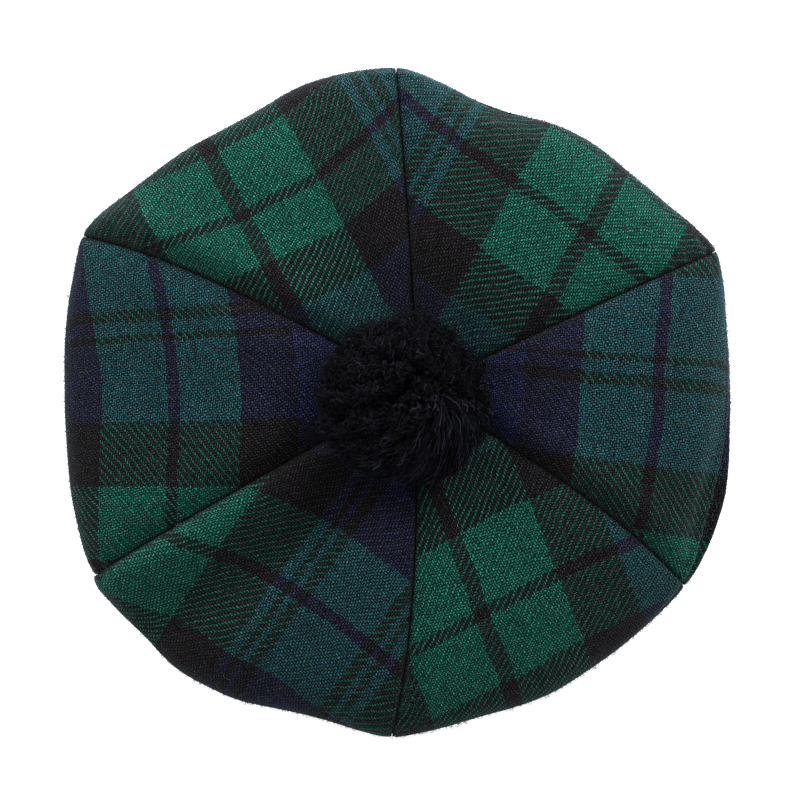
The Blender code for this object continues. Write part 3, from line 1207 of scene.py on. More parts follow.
@dataclass(frozen=True)
class Gore:
    """One petal of tartan cloth, with its seam edges rolled in and its seam allowances inside.

    columns and steps give its grid. fill, pull, pucker and beats shape the cloth beside a seam; roll, press
    and allowance shape its edges; nap, sink and swells its whole face; fold_ sizes the tuck at the rim.
    """

    index: int
    form: CrownForm
    columns: int = 64
    steps: int = 11
    cloth: float = 1.4 * MM
    roll: float = 2.0 * MM
    fill: float = 0.6
    pull: float = 3.2 * MM
    pull_width: float = 3.6 * MM
    pucker: float = 0.36 * MM
    pucker_at: float = 2.5 * MM
    pucker_width: float = 7.0 * MM
    beats: tuple[Beat, ...] = (Beat(9.5 * MM, 1.7, 1.0), Beat(6.1 * MM, 1.0, 0.6))
    swells: tuple[Swell, ...] = (
        Swell(21.0, 1.1 * MM, (3.1, 0.0, 0.0)),
        Swell(58.0, 0.42 * MM, (0.0, 9.4, 0.0)),
    )
    nap: float = 0.9 * MM
    press: float = 0.05 * MM
    sink: float = 5.0 * MM
    sink_radius: float = 50 * MM
    tip_fade: float = 18 * MM
    hem_fade: float = 22 * MM
    rim_calm: float = 0.75
    rim_calm_width: float = 17 * MM
    curl_fade: float = 10 * MM
    curl_least: float = 0.25
    fold_lip: float = 0.42
    fold_lip_at: float = 0.6
    fold_hollow: float = 0.5
    fold_hollow_at: float = 1.6
    fold_hollow_width: float = 1.2
    fold_width: float = 3.2 * MM
    allowance: float = 6.0 * MM
    allowance_columns: int = 3
    allowance_start: float = 6.0 * MM
    allowance_tip_fade: float = 26 * MM
    allowance_tip_least: float = 0.03
    allowance_hem_fade: float = 12 * MM
    allowance_hem_least: float = 0.1
    plan_reference: float = 98.3 * MM
    plan_end: float = 141.0 * MM
    bow_at: float = 42.75 * MM
    bow_power: float = 1.5
    fuzz: Fuzz = Fuzz()

    def name(self) -> str:
        """The gore's own name, which is its CAD node's."""
        return GORES[self.index].node

    def row_of(self, station: str) -> int:
        """The grid's row at a station of the section."""
        return self.steps * [row.name for row in PROFILE].index(station)

    def cloth_place(self, radius: np.ndarray, azimuth: np.ndarray, extra: np.ndarray) -> np.ndarray:
        """Where points of the gore lie in the tartan's sett.

        Args:
            radius: Distances from the crown's centre in plan.
            azimuth: Their azimuths.
            extra: Length of cloth beyond the plan distance, where it rolls under the rim.

        Returns:
            Places across and along the sett, in metres.
        """
        lay = LAYS[self.index]
        turn = math.radians(lay.axis_deg) - azimuth
        out = radius * np.cos(turn) + extra
        side = radius * np.sin(turn)
        run = np.minimum(out, self.plan_end) - self.plan_reference
        across = (side - lay.tilt * run) / (1 + lay.fan_per_mm * run / MM) + lay.sett_at_axis_mm * MM
        bow = np.where(side < 0, lay.bow_before_mm, lay.bow_after_mm) * MM
        out = out - bow * (np.abs(side) / self.bow_at) ** self.bow_power
        marks = np.array(lay.marks_mm) * MM
        black, green, line, last = (row.along_mm * MM for row in SETT[:4])
        places = np.array([0.0, black, black + green + line / 2, black + green + line + last])
        along = np.interp(out, marks, places)
        along += np.minimum(out - marks[0], 0.0) + np.maximum(out - marks[-1], 0.0)
        return np.stack((across, along), axis=-1)

    def ripple(self, distance: np.ndarray, run: np.ndarray, seam: int, before: bool) -> np.ndarray:
        """The sharp valley, the puckers and the crest that a seam draws into the cloth beside it.

        Args:
            distance: Distances from the seam.
            run: Lengths along the section.
            seam: Index of the seam.
            before: Whether this is the cloth before the seam.

        Returns:
            Lift of the cloth at each point.
        """
        beat = sum(row.share * np.sin(TAU * run / row.length + row.shift * seam) for row in self.beats)
        lift = self.pucker * beat * bell(distance - self.pucker_at, self.pucker_width)
        lift -= self.pull * np.exp(-distance / self.pull_width)
        lift += self.fill * SEAMS[seam].dip_mm * MM * bell(distance, self.form.groove)
        for row in CRESTS:
            if row.seam == seam and row.before == before:
                hollow = bell(distance - row.hollow_at_mm * MM, row.hollow_width_mm * MM)
                lift += row.rise_mm * MM * bell(distance - row.at_mm * MM, row.width_mm * MM)
                lift -= row.hollow_mm * MM * hollow
        return lift

    def fold(self, azimuth: np.ndarray, run: np.ndarray) -> np.ndarray:
        """Where the rim tucks in, the upper fold's lip stands out and the cloth below it draws back."""
        beyond = run - run[self.row_of("crease")]
        lip = bell(beyond + self.fold_lip_at * self.fold_width, self.fold_width)
        hollow_width = self.fold_hollow_width * self.fold_width
        hollow = bell(beyond - self.fold_hollow_at * self.fold_width, hollow_width)
        return self.form.tuck_depth(azimuth) * (self.fold_lip * lip - self.fold_hollow * hollow)

    def softness(self, points: np.ndarray) -> np.ndarray:
        """Soft unevenness of the cloth at each point, from smooth noise in space."""
        lifts = []
        for point in points.reshape(-1, 3):
            place = Vector(point.tolist())
            rows = (row.height * noise.noise(place * row.scale + Vector(row.offset)) for row in self.swells)
            lifts.append(sum(rows))
        return np.array(lifts).reshape(points.shape[:-1])

    def lift(self, face: Face) -> np.ndarray:
        """What the seams' pull, their puckers and crests, and the tuck at the rim do to the face."""
        made = self.ripple(face.across * face.width, face.run, self.index, False)
        made += self.ripple((1 - face.across) * face.width, face.run, (self.index + 1) % len(SEAMS), True)
        return made * self.calm(face.run) + self.fold(face.azimuth, face.run)

    def calm(self, run: np.ndarray) -> np.ndarray:
        """How much of the seams' work is left, which is least at the rim."""
        return 1 - self.rim_calm * bell(run - run[self.row_of("rim")], self.rim_calm_width)

    def allowance_edge(self, edge: np.ndarray, run: np.ndarray) -> np.ndarray:
        """Depths of the seam allowance's columns below a rolled edge.

        Args:
            edge: Depth of the edge itself.
            run: Length along the section.

        Returns:
            One column for each step of the allowance.
        """
        to_tip = (run - self.allowance_start) / self.allowance_tip_fade
        to_hem = (run[-1] - run) / self.allowance_hem_fade
        fade = np.clip(to_tip, self.allowance_tip_least, 1) * np.clip(to_hem, self.allowance_hem_least, 1)
        steps = np.arange(1, self.allowance_columns + 1) / self.allowance_columns
        return edge[:, None] - self.allowance * fade[:, None] * steps[None, :]

    def shift(self, face: Face) -> np.ndarray:
        """How far the cloth stands off the crown's plain form, and how its edges roll in at the seams."""
        run = face.run
        free = np.clip(run / self.tip_fade, 0, 1) * np.clip((run[-1] - run) / self.hem_fade, 0, 1)
        soft = self.softness(self.form.points(face.radius, face.azimuth, face.height))
        lift = soft + self.lift(face) + self.nap - self.sink * bell(face.radius, self.sink_radius)
        turned = np.clip(self.roll - face.seam, 0, self.roll)
        curl = self.roll - np.sqrt(self.roll**2 - turned**2)
        return lift * free - curl * self.calm(run) * np.clip(run / self.curl_fade, self.curl_least, 1)

    def rolled_length(self, face: Face) -> np.ndarray:
        """Length of cloth beyond the plan distance, where it rolls over the rim."""
        row = self.row_of("roll")
        beyond = face.run - face.run[row]
        return np.maximum(beyond, 0) - np.where(beyond > 0, face.radius - face.radius[row], 0)

    def flat_size(self, face: Face) -> Triple:
        """Width, length and area of the gore's cloth before it is sewn, with its allowances."""
        allowances = 2 * self.allowance
        area = float(np.sum(face.step.mean(axis=1) * (face.width[1:].mean(axis=1) + allowances)))
        return float(face.width.max() + allowances), float(face.run[-1].max()), area

    def shell(self) -> tuple[MeshParts, Triple]:
        """The gore's outer face, with its rolled edges and the allowances behind them.

        Returns:
            Points, faces that look outwards and cloth coordinates; and the flat width, length and area.
        """
        across = 0.5 - 0.5 * np.cos(np.pi * np.linspace(0, 1, self.columns + 1))
        radius, height = self.form.section(self.index, across, self.steps)
        azimuth = self.form.azimuth(self.index, across[None, :], radius)
        face = Face(across, radius, height, azimuth, self.form.width(self.index, radius))
        flat = self.flat_size(face)
        shift = self.shift(face)
        first = self.allowance_edge(shift[:, 0], face.run[:, 0])[:, ::-1]
        last = self.allowance_edge(shift[:, -1], face.run[:, -1])
        shift = np.hstack((first, shift, last))
        count = self.allowance_columns
        face.widen(count)
        sewn = (0.5 * self.form.clearance + self.press) / face.radius
        face.azimuth[:, :count] += sewn[:, :count]
        face.azimuth[:, -count:] -= sewn[:, -count:]
        uv = self.cloth_place(face.radius, face.azimuth, self.rolled_length(face))
        inside = np.abs(shift - np.clip(shift, -self.roll, None))
        uv[:, :count, 0] -= inside[:, :count]
        uv[:, -count:, 0] += inside[:, -count:]
        radius = face.radius + face.out_radius * shift
        points = self.form.points(radius, face.azimuth, face.height + face.out_height * shift)
        faces = grid_faces(*shift.shape)[:, ::-1]
        return MeshParts(points.reshape(-1, 3), faces, uv.reshape(-1, 2), seam=face.seam.ravel()), flat

    def fibre_density(self) -> np.ndarray:
        """How densely fibres stand on each of the shell's faces, with none on the allowances."""
        columns = self.columns + 2 * self.allowance_columns
        rows = (len(PROFILE) - 1) * self.steps
        density = self.fuzz.density(np.arange(rows) / self.steps)
        shown = np.zeros(columns)
        shown[self.allowance_columns : -self.allowance_columns] = 1.0
        return (density[:, None] * shown[None, :]).ravel()

    def build(self, finish: Material, fibre: Material) -> None:
        """Makes the gore, thickens it and adds its loose fibres.

        Args:
            finish: The tartan.
            fibre: The loose fibres' material.
        """
        shell, (width, length, area) = self.shell()
        made = shell.build(self.name() + "_cloth")
        thick = made.modifiers.new("cloth", "SOLIDIFY")
        thick.thickness = self.cloth
        thick.offset = -1.0
        fibres = self.fuzz.grow(shell, self.fibre_density(), self.index).build(self.name() + "_fuzz")
        apply_modifiers(made)
        enter(made, Slot.CLOTH, finish, self.name())
        enter(fibres, Slot.CLOTH, fibre)
        log.info("%s: cut %.0f x %.0f mm, %.0f cm2", self.name(), width / MM, length / MM, area * 1e4)


def apply_modifiers(piece: Piece) -> None:
    """Replaces a piece's mesh by its evaluated one and removes the modifiers."""
    graph = bpy.context.evaluated_depsgraph_get()
    mesh = bpy.data.meshes.new_from_object(piece.evaluated_get(graph))
    piece.modifiers.clear()
    old = piece.data
    piece.data = mesh
    bpy.data.meshes.remove(old)


@dataclass(frozen=True)
class Headband:
    """The band round the head opening: a folded strip of wool with topstitching and a join at the back.

    edge, inset, foot and slack shape its section; pinch sizes how the stitches draw it in; waver its
    unevenness. stitch_ sizes the rows round it and join_ the two short rows up the join.
    """

    form: CrownForm
    height: float = 30 * MM
    edge: float = 1.3 * MM
    edge_points: int = 5
    side_points: int = 14
    inset: float = 0.05 * MM
    foot: float = 0.02 * MM
    around: int = 360
    slack: float = 0.92
    pinch: float = 0.28 * MM
    pinch_width: float = 1.3 * MM
    pinch_beat: float = 0.25
    waver: float = 0.072 * MM
    wavers: tuple[tuple[int, float], ...] = ((11, 0.4), (17, 2.0))
    stitch_pitch: float = 3.4 * MM
    stitch_length: float = 0.66
    stitch_size: float = 0.28 * MM
    stitch_arch: float = 9.0
    stitch_taper: tuple[float, ...] = (0.5, 0.95, 1.0, 0.95, 0.5)
    stitch_heights: tuple[float, float] = (4.0 * MM, 26.0 * MM)
    stitch_turn: float = 0.03
    stitch_drift: float = 0.08 * MM
    stitch_sunk: float = 0.1 * MM
    stitch_inner: float = 0.26 * MM
    stitch_outer: float = 1.24 * MM
    stitch_seed: int = 7
    thread: float = 0.7
    thread_sides: int = 5
    join_deg: float = 94.3
    join_side: float = 1.6 * MM
    join_pitch: float = 2.6 * MM
    join_stitch: float = 1.7 * MM
    join_ends: tuple[float, float] = (6.5 * MM, 6.0 * MM)

    def corner(self, radius: float, level: float, start: float) -> list[tuple[float, float]]:
        """An eased corner of the section: a quarter turn about a middle, from an angle on."""
        turns = np.linspace(start, start + 0.25 * TAU, self.edge_points)
        return [(radius + self.edge * math.cos(turn), level + self.edge * math.sin(turn)) for turn in turns]

    def outline(self) -> np.ndarray:
        """Section of the band as (radius, height) points, closed, with eased edges."""
        inside = self.form.head_radius() + self.inset
        outside = self.form.head_radius() + self.form.band_wall - self.inset
        low = self.edge + self.foot
        high = self.height - self.edge
        levels = np.linspace(self.edge, high, self.side_points)[1:-1]
        points = [
            *self.corner(inside + self.edge, low, 0.5 * TAU),
            *self.corner(outside - self.edge, low, 0.75 * TAU),
            *((outside, level) for level in levels),
            *self.corner(outside - self.edge, high, 0.0),
            *self.corner(inside + self.edge, high, 0.25 * TAU),
            *((inside, level) for level in levels[::-1]),
        ]
        return np.array(points)

    def ring(self) -> MeshParts:
        """The band's surface, with pinched stitch lines and slight unevenness."""
        outline = self.outline()
        middle = self.form.band_radius()
        azimuth = (TAU * np.arange(self.around) / self.around)[:, None]
        height = np.broadcast_to(outline[None, :, 1], (self.around, len(outline)))
        pinch = sum(bell(height - level, self.pinch_width) for level in self.stitch_heights)
        beat = 1 - self.pinch_beat + self.pinch_beat * np.cos(azimuth * self.stitch_count())
        radius = outline[None, :, 0] + np.sign(middle - outline[None, :, 0]) * self.pinch * pinch * beat
        waver = sum(np.sin(lobes * azimuth + turn) for lobes, turn in self.wavers)
        radius = middle + (radius - middle) * self.slack + self.waver * waver
        points = self.form.points(radius, azimuth, height)
        uv = np.stack(np.broadcast_arrays(azimuth * middle, height), axis=-1)
        faces = grid_faces(*height.shape, around=True, over=True)
        return MeshParts(points.reshape(-1, 3), faces, uv.reshape(-1, 2))

    def stitch_count(self) -> int:
        """How many stitches go round the band."""
        return round(TAU * self.form.band_radius() / self.stitch_pitch)

    def stitch_faces(self, sunk: float) -> tuple[tuple[float, int], tuple[float, int]]:
        """Radius and outward side of the band's inner and outer face, for stitches sunk so far in."""
        inner = self.form.head_radius() + self.stitch_inner + sunk
        outer = self.form.band_radius() + self.stitch_outer - sunk
        return (inner, -1), (outer, 1)

    def stitches(self) -> MeshParts:
        """Topstitches on both faces, and a row of them up the join."""
        rng = np.random.default_rng(self.stitch_seed)
        count = self.stitch_count()
        t = np.linspace(-0.5, 0.5, len(self.stitch_taper))
        arch = self.stitch_size * (1.0 - self.stitch_arch * t**2)
        paths = []
        for radius, outward in self.stitch_faces(self.stitch_sunk):
            for level in self.stitch_heights:
                for rank in range(count):
                    turn = TAU * (rank + rng.normal(scale=self.stitch_turn)) / count
                    angle = turn + self.stitch_length * t * self.stitch_pitch / radius
                    drifted = level + rng.normal(scale=self.stitch_drift)
                    paths.append(self.form.points(radius + outward * arch, angle, drifted))
        bottom, top = self.join_ends
        for side in (-self.join_side, self.join_side):
            angle = math.radians(self.join_deg) + side / self.form.band_radius()
            for level in np.arange(bottom, self.height - top, self.join_pitch):
                for radius, outward in self.stitch_faces(0.0):
                    rise = level + self.join_stitch * t
                    paths.append(self.form.points(radius + outward * arch, angle, rise))
        radii = np.array(self.stitch_taper) * self.stitch_size * self.thread
        radii = np.broadcast_to(radii, (len(paths), len(t)))
        return tubes(np.array(paths), radii, self.thread_sides, rng.random(len(paths)))

    def build(self, finish: Material, thread: Material) -> None:
        """Makes the band and its stitching.

        Args:
            finish: The band's wool.
            thread: The stitches' material.
        """
        made = enter(self.ring().build("headband_cloth"), Slot.BAND, finish, "headband")
        stitches = enter(self.stitches().build("headband_stitches"), Slot.BAND, thread)
        flat = (TAU * self.form.band_radius(), self.height)
        log.info("headband: cut %.0f x %.0f mm finished width", flat[0] / MM, flat[1] / MM)


@dataclass(frozen=True)
class Strands:
    """One set of the pompom's strands: how many, how thick, where they end and how they bend.

    start, end and ragged are shares of the ball's reach. crimp and crimp_length_mm size the yarn's curl.
    """

    name: str
    count: int
    points: int
    start: float
    end: float
    ragged: float
    thick_mm: float
    sweep_mm: float
    lean_mm: float
    crimp_mm: float
    crimp_length_mm: float
    seed: int


@dataclass(frozen=True)
class Growth:
    """A value of the pompom's yarn where it is loose, and how much it grows where it is combed."""

    loose: float
    more: float

    def at(self, combed: np.ndarray) -> np.ndarray:
        """The value for each share of combing."""
        return self.loose + self.more * combed


@dataclass(frozen=True)
class Pompom:
    """The pompom: a dense ball of yarn ends in tufts, combed away from a whorl on one side.

    Elsewhere the yarn is crimped. Directions are unit vectors from the ball's centre.
    """

    centre: Triple = (1.9 * MM, 1.8 * MM, 62.4 * MM)
    reach: Triple = (35.0 * MM, 34.4 * MM, 28.6 * MM)
    floor_height: float = 44.6 * MM
    lowest_aim: float = -0.62
    aim_spread: float = 0.02
    whorl: tuple[float, float] = (16.5 * MM, 4.5 * MM)
    whorl_swirl: float = 0.35
    whorl_fall: float = -0.12
    combed_deg: float = -75.0
    combed_width_deg: float = 62.0
    stray: float = 0.16
    tufts: int = 210
    tuft_spread: float = 0.05
    tuft_pull: float = 0.32
    tuft_uneven: float = 0.04
    tuft_round: float = 0.03
    tuft_edge: float = 1.6
    tuft_seed: int = 5
    lump: float = 0.11
    lump_width: float = 0.42
    lump_aim: Triple = (-0.92, -0.42, -0.12)
    own_lean: float = 0.8
    tip_at: float = 0.95
    sides: int = 3
    taper: Triple = (1.0, 0.85, 0.25)
    spring: Growth = Growth(1.3, 1.2)
    swept: Growth = Growth(0.12, 0.95)
    swept_power: float = 1.7
    leaning: Growth = Growth(1.15, -1.0)
    leaning_power: float = 2.2
    curled: Growth = Growth(1.2, -0.85)
    curl_start: float = 3.0
    # Combed strands are paler than loose ones: a painted sheen of their lined-up fibres.
    comb_sheen: Growth = Growth(0.78, 0.42)
    curl_range: tuple[float, float] = (0.8, 1.3)
    foot_range: tuple[float, float] = (0.1 * MM, 0.9 * MM)
    thick_range: tuple[float, float] = (0.75, 1.25)
    core_share: float = 0.80
    core_lumps: float = 0.07
    core_lump_scale: float = 9.0
    core_grid: tuple[int, int] = (60, 96)
    core_shade: float = 0.15
    tie_radius: float = 2.8 * MM
    tie_bottom: float = 41.0 * MM
    tie_neck: float = 0.8 * MM
    tie_neck_least: float = 0.35
    tie_ridges: int = 5
    tie_ridge: float = 0.1
    tie_twist: float = 900.0
    tie_grid: tuple[int, int] = (14, 20)
    tie_shade: float = 0.2
    sets: tuple[Strands, ...] = (
        Strands("pompom_yarn", 4000, 9, 0.72, 1.0, 0.030, 0.70, 10.0, 2.4, 0.85, 3.4, 21),
        Strands("pompom_inner", 3900, 9, 0.66, 0.95, 0.03, 0.82, 4.5, 2.2, 0.80, 3.6, 22),
        Strands("pompom_fibres", 3000, 6, 0.84, 1.02, 0.045, 0.12, 10.0, 3.5, 0.5, 5.0, 23),
    )

    def directions(self, count: int, rng: np.random.Generator, spread: float) -> np.ndarray:
        """Evenly spread directions, without the ones that point down into the crown.

        Args:
            count: How many.
            rng: Source of the small unevenness.
            spread: Size of it.

        Returns:
            Unit vectors.
        """
        z = 1 - (1 - self.lowest_aim) * (np.arange(count) + 0.5) / count
        turn = np.arange(count) * math.pi * (3 - math.sqrt(5))
        flat = np.sqrt(1 - z**2)
        made = np.stack((flat * np.cos(turn), flat * np.sin(turn), z), axis=-1)
        return unit(made + rng.normal(scale=spread, size=made.shape))

    def comb(self, aim: np.ndarray) -> tuple[np.ndarray, np.ndarray]:
        """Which way the yarn ends are combed, and how strongly.

        Args:
            aim: Directions of the strands.

        Returns:
            A direction along the surface and a share from 0 to 1 for each strand.
        """
        away = unit(aim[:, :2] * np.array(self.reach)[:2] - np.array(self.whorl))
        turned = np.stack((away[:, 1], -away[:, 0]), axis=1)
        fall = np.full((len(aim), 1), self.whorl_fall)
        flow = np.concatenate((away + self.whorl_swirl * turned, fall), axis=1)
        flow -= aim * np.sum(flow * aim, axis=1, keepdims=True)
        heading = np.degrees(np.arctan2(away[:, 1], away[:, 0]))
        turn = (heading - self.combed_deg + 180) % 360 - 180
        return unit(flow), bell(turn, self.combed_width_deg)

    def gather(self, aim: np.ndarray) -> tuple[np.ndarray, np.ndarray, np.ndarray]:
        """Gathers strands into tufts that lean together and end at uneven heights.

        Args:
            aim: Directions of the strands.

        Returns:
            Directions of their ends, the share of the reach that each tuft has, and each tuft's lean.
        """
        rng = np.random.default_rng(self.tuft_seed)
        tufts = self.directions(self.tufts, rng, self.tuft_spread)
        height = rng.normal(scale=self.tuft_uneven, size=self.tufts)
        lean = unit(np.cross(tufts, rng.normal(size=tufts.shape)))
        near = np.argmax(aim @ tufts.T, axis=1)
        spacing = math.sqrt(TAU * (1 - self.lowest_aim) / self.tufts)
        away = np.linalg.norm(aim - tufts[near], axis=1) / (0.5 * spacing)
        to_lump = np.linalg.norm(tufts - unit(np.array(self.lump_aim)), axis=1)
        height += self.lump * bell(to_lump, self.lump_width)
        ends = unit(aim + (tufts[near] - aim) * self.tuft_pull)
        return ends, 1 + height[near] - self.tuft_round * np.minimum(away, self.tuft_edge) ** 2, lean[near]

    def strands(self, row: Strands) -> MeshParts:
        """One set of strands, from inside the ball to its surface.

        Args:
            row: How they are made.

        Returns:
            The strands as one mesh.
        """
        rng = np.random.default_rng(row.seed)
        count = row.count
        aim = self.directions(count, rng, self.aim_spread)
        flow, share = self.comb(aim)
        flow = flow + self.stray * rng.normal(size=flow.shape)
        ends, tuft_reach, lean = self.gather(aim)
        t = np.append(np.linspace(0, self.tip_at, row.points - 1), 1.0)[None, :, None]
        combed = share[:, None, None]
        whole = row.end * tuft_reach * (1 + rng.normal(scale=row.ragged, size=count))
        out = row.start + (whole[:, None, None] - row.start) * (1 - (1 - t) ** self.spring.at(combed))
        way = aim[:, None] + (ends - aim)[:, None] * t
        path = way * np.array(self.reach) * out
        path = path + flow[:, None] * row.sweep_mm * MM * self.swept.at(combed) * t**self.swept_power
        own = unit(np.cross(aim, rng.normal(size=aim.shape)))
        bend = lean[:, None] + self.own_lean * own[:, None]
        path = path + bend * row.lean_mm * MM * self.leaning.at(combed) * t**self.leaning_power
        path = path + self.crimp(row, rng, combed, whole, t, own, np.cross(aim, own))
        path = path + np.array(self.centre)
        floor = self.floor_height + rng.uniform(*self.foot_range, size=(count, 1))
        path[..., 2] = np.maximum(path[..., 2], floor)
        thick, thinner, tip = self.taper
        taper = np.append(np.linspace(thick, thinner, row.points - 1), tip)
        radii = 0.5 * row.thick_mm * MM * taper[None, :] * rng.uniform(*self.thick_range, size=(count, 1))
        # Each strand's random lightness, paler where combed: painted sheen.
        shades = np.clip(rng.random(count) * self.comb_sheen.at(share), 0, 1)
        return tubes(path, radii, self.sides, shades)

    def crimp(
        self,
        row: Strands,
        rng: np.random.Generator,
        combed: np.ndarray,
        whole: np.ndarray,
        t: np.ndarray,
        own: np.ndarray,
        other: np.ndarray,
    ) -> np.ndarray:
        """The curl of the yarn about its own line, weaker where it is combed.

        Args:
            row: How the set is made.
            rng: Source of each strand's phase and length of curl.
            combed: How strongly each strand is combed.
            whole: How far out each strand ends, as a share of the reach.
            t: Places along the strands.
            own: A direction across each strand.
            other: The direction across it that is square to the first.

        Returns:
            The curl's shift of each point.
        """
        length = (whole - row.start)[:, None, None] * self.reach[0] + row.sweep_mm * MM * combed
        phase = rng.uniform(0, TAU, size=(row.count, 1, 1))
        curl = row.crimp_length_mm * MM * rng.uniform(*self.curl_range, size=(row.count, 1, 1))
        wave = TAU * t * length / curl + phase
        size = row.crimp_mm * MM * self.curled.at(combed) * np.minimum(self.curl_start * t, 1)
        return size * (own[:, None] * np.cos(wave) + other[:, None] * np.sin(wave))

    def core(self) -> MeshParts:
        """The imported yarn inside, a lumpy ball on its tie."""
        rows, columns = self.core_grid
        polar = (np.pi * (np.arange(rows) + 0.5) / rows)[:, None]
        turn = (TAU * np.arange(columns) / columns)[None, :]
        parts = (np.sin(polar) * np.cos(turn), np.sin(polar) * np.sin(turn), np.cos(polar))
        aim = np.stack(np.broadcast_arrays(*parts), axis=-1)
        places = (Vector(item.tolist()) * self.core_lump_scale for item in aim.reshape(-1, 3))
        lumps = np.array([noise.noise(place) for place in places])
        share = self.core_share * (1 + self.core_lumps * lumps.reshape(rows, columns, 1))
        points = aim * np.array(self.reach) * share + np.array(self.centre)
        points[..., 2] = np.maximum(points[..., 2], self.floor_height)
        tie = self.tie()
        return MeshParts(
            np.vstack((points.reshape(-1, 3), tie.points)),
            np.vstack((grid_faces(rows, columns, around=True), tie.faces + rows * columns)),
            np.vstack((np.full((rows * columns, 2), self.core_shade), tie.uv)),
            "strand",
        )

    def tie(self) -> MeshParts:
        """The tie of yarn that goes down through the crown's centre."""
        rows, columns = self.tie_grid
        levels = np.linspace(self.tie_bottom, self.centre[2], rows)[:, None]
        turn = (TAU * np.arange(columns) / columns)[None, :]
        ridge = 1 + self.tie_ridge * np.cos(self.tie_ridges * (turn + levels * self.tie_twist))
        neck = np.clip((levels - self.tie_bottom) / self.tie_neck, self.tie_neck_least, 1)
        points = CrownForm().points(self.tie_radius * ridge * neck, turn, levels).reshape(-1, 3)
        faces = grid_faces(rows, columns, around=True)
        return MeshParts(points, faces, np.full((len(points), 2), self.tie_shade), "strand")

    def build(self, finish: Material, packed: Material) -> None:
        """Makes the core and the sets of strands, of which the first stands for the CAD pompom.

        Args:
            finish: The yarn's material.
            packed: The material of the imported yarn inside.
        """
        enter(self.core().build("pompom_core"), Slot.YARN, packed)
        outer, *others = [self.strands(row).build(row.name) for row in self.sets]
        enter(outer, Slot.YARN, finish, "pompom")
        for piece in others:
            enter(piece, Slot.YARN, finish)


@dataclass(frozen=True)
class Light:
    """A soft light: where it stands, how large it is, how bright, and the point that it looks at."""

    name: str
    place: Triple
    size: float
    power: float
    aim: Triple = (0.0, 0.0, 0.03)


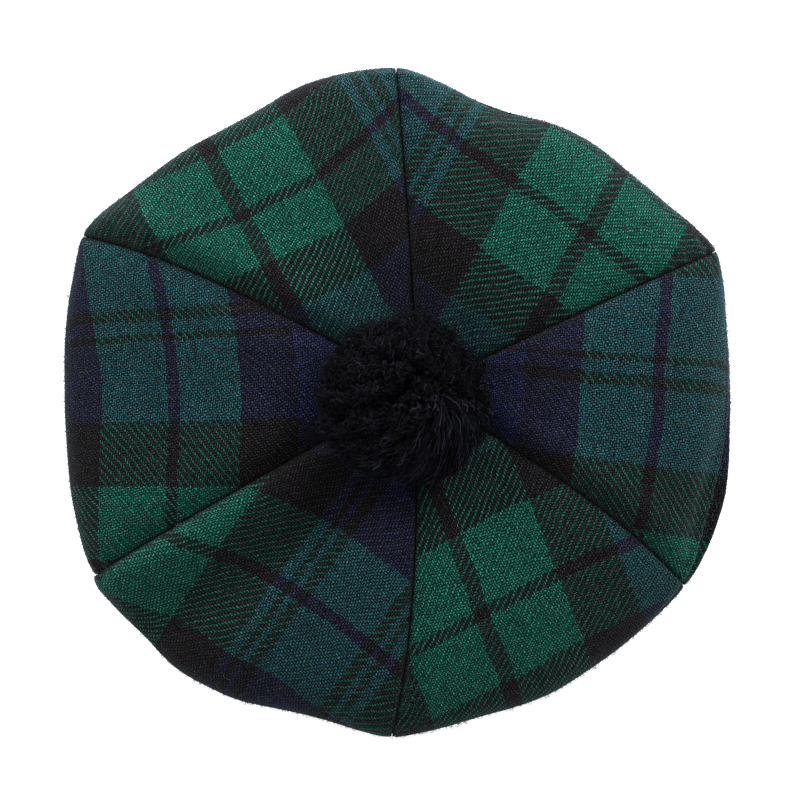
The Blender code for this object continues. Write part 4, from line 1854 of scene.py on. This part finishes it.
@dataclass(frozen=True)
class Studio:
    """Pale floor, soft light and a camera straight above."""

    lens_mm: float = 120.0
    sensor_mm: float = 36.0
    view_width: float = 348.8 * MM
    view_plane: float = 20 * MM
    camera_x: float = 0.22 * MM
    camera_y: float = 0.65 * MM
    world: float = 0.43
    floor_half: float = 4.0
    floor_white: float = 0.93
    floor_bounce: float = 0.90
    floor_glow: float = 0.80
    floor_roughness: float = 0.9
    floor_specular: float = 0.1
    lights: tuple[Light, ...] = (
        Light("right", (0.825, 0.825, 0.817), 0.7, 24.0),
        Light("back", (0.36, 1.33, 0.345), 0.7, 8.0),
        Light("left", (-0.825, 0.825, 0.817), 0.7, 17.0),
        Light("top", (-0.3, -0.2, 1.9), 1.6, 15.0),
    )

    def build(self) -> None:
        """Makes the floor, the lights, the world and the camera."""
        scene = bpy.context.scene
        scene.view_settings.view_transform = "Standard"
        self.floor()
        world = bpy.data.worlds.new("studio")
        world.use_nodes = True
        world.node_tree.nodes["Background"].inputs["Color"].default_value = (1, 1, 1, 1)
        world.node_tree.nodes["Background"].inputs["Strength"].default_value = self.world
        scene.world = world
        for row in self.lights:
            self.light(row)
        self.camera()

    def floor(self) -> None:
        """Makes the floor, a stage that isn't part of the bonnet."""
        half = self.floor_half
        mesh = bpy.data.meshes.new("floor")
        corners = [(-half, -half, 0), (half, -half, 0), (half, half, 0), (-half, half, 0)]
        mesh.from_pydata(corners, [], [(0, 1, 2, 3)])
        mesh.materials.append(self.floor_material())
        floor = bpy.data.objects.new("floor", mesh)
        bpy.context.scene.collection.objects.link(floor)

    def floor_material(self) -> Material:
        """A plain floor that the camera sees white, and that throws less light back up than it shows."""
        pale = bpy.data.materials.new("pale_floor")
        pale.use_nodes = True
        sheet = NodeSheet(pale.node_tree)
        shader = pale.node_tree.nodes["Principled BSDF"]
        seen = sheet.node("ShaderNodeLightPath").outputs["Is Camera Ray"]
        tone = sheet.mix(seen, self.floor_bounce, self.floor_white)
        sheet.put(shader.inputs["Base Color"], sheet.vector(tone, tone, tone))
        sheet.put(shader.inputs["Emission Strength"], sheet.times(seen, self.floor_glow))
        shader.inputs["Emission Color"].default_value = (1, 1, 1, 1)
        shader.inputs["Roughness"].default_value = self.floor_roughness
        shader.inputs["Specular IOR Level"].default_value = self.floor_specular
        return pale

    def light(self, row: Light) -> None:
        """Makes one soft square light."""
        data = bpy.data.lights.new(row.name, "AREA")
        data.shape = "SQUARE"
        data.size = row.size
        data.energy = row.power
        lamp = bpy.data.objects.new(row.name, data)
        lamp.location = row.place
        aim = Vector(row.aim) - Vector(row.place)
        lamp.rotation_mode = "QUATERNION"
        lamp.rotation_quaternion = aim.to_track_quat("-Z", "Y")
        bpy.context.scene.collection.objects.link(lamp)

    def camera(self) -> None:
        """Makes the camera that looks straight down, with +Y up in the picture."""
        data = bpy.data.cameras.new("camera")
        data.lens = self.lens_mm
        data.sensor_width = self.sensor_mm
        distance = self.view_width * self.lens_mm / self.sensor_mm
        made = bpy.data.objects.new("camera", data)
        made.location = (self.camera_x, self.camera_y, self.view_plane + distance)
        bpy.context.scene.collection.objects.link(made)
        bpy.context.scene.camera = made


def finishes() -> dict[str, Material]:
    """The materials of the bonnet, by name: heights, strengths, sheen and its roughness, and specular."""
    # Loose fibres: darker roots are painted shade by the cloth; paler teal tips are partly painted light, the
    # glow of fuzz at the edges, partly the fibres' own colour.
    nap = ((0.008, 0.024, 0.026), (0.025, 0.055, 0.060))
    thread = ((0.006, 0.008, 0.016), (0.006, 0.008, 0.016))
    # Yarn packed inside the ball, as dark as the strands' roots: painted shade of the ball's inside.
    packed = ((0.0006, 0.0006, 0.0009), (0.0006, 0.0006, 0.0009))
    rows = {
        "tartan": TartanFinish(Slot.CLOTH, 0.35 * MM, 0.95, 0.04, 0.3, 0.04),
        "fibre": StrandFinish(Slot.CLOTH, 0.02 * MM, 0.1, 0.05, 0.4, 0.05, *nap),
        "band": BandFinish(Slot.BAND, 0.3 * MM, 0.6, 0.02, 0.45, 0.05),
        "thread": StrandFinish(Slot.BAND, 0.05 * MM, 0.3, 0.02, 0.4, 0.15, *thread),
        "yarn": StrandFinish(Slot.YARN, 0.05 * MM, 0.4, 0.0, 0.4, 0.07),
        "packed": StrandFinish(Slot.YARN, 0.05 * MM, 0.4, 0.0, 0.4, 0.0, *packed),
    }
    return {name: row.material() for name, row in rows.items()}


def main() -> None:
    """Builds the whole visual model."""
    logging.basicConfig(level=logging.INFO, format="%(message)s")
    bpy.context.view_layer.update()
    form = CrownForm()
    made = finishes()
    for index in range(len(GORES)):
        Gore(index, form).build(made["tartan"], made["fibre"])
    Headband(form).build(made["band"], made["thread"])
    Pompom().build(made["yarn"], made["packed"])
    Studio().build()


if __name__ == "__main__":
    main()
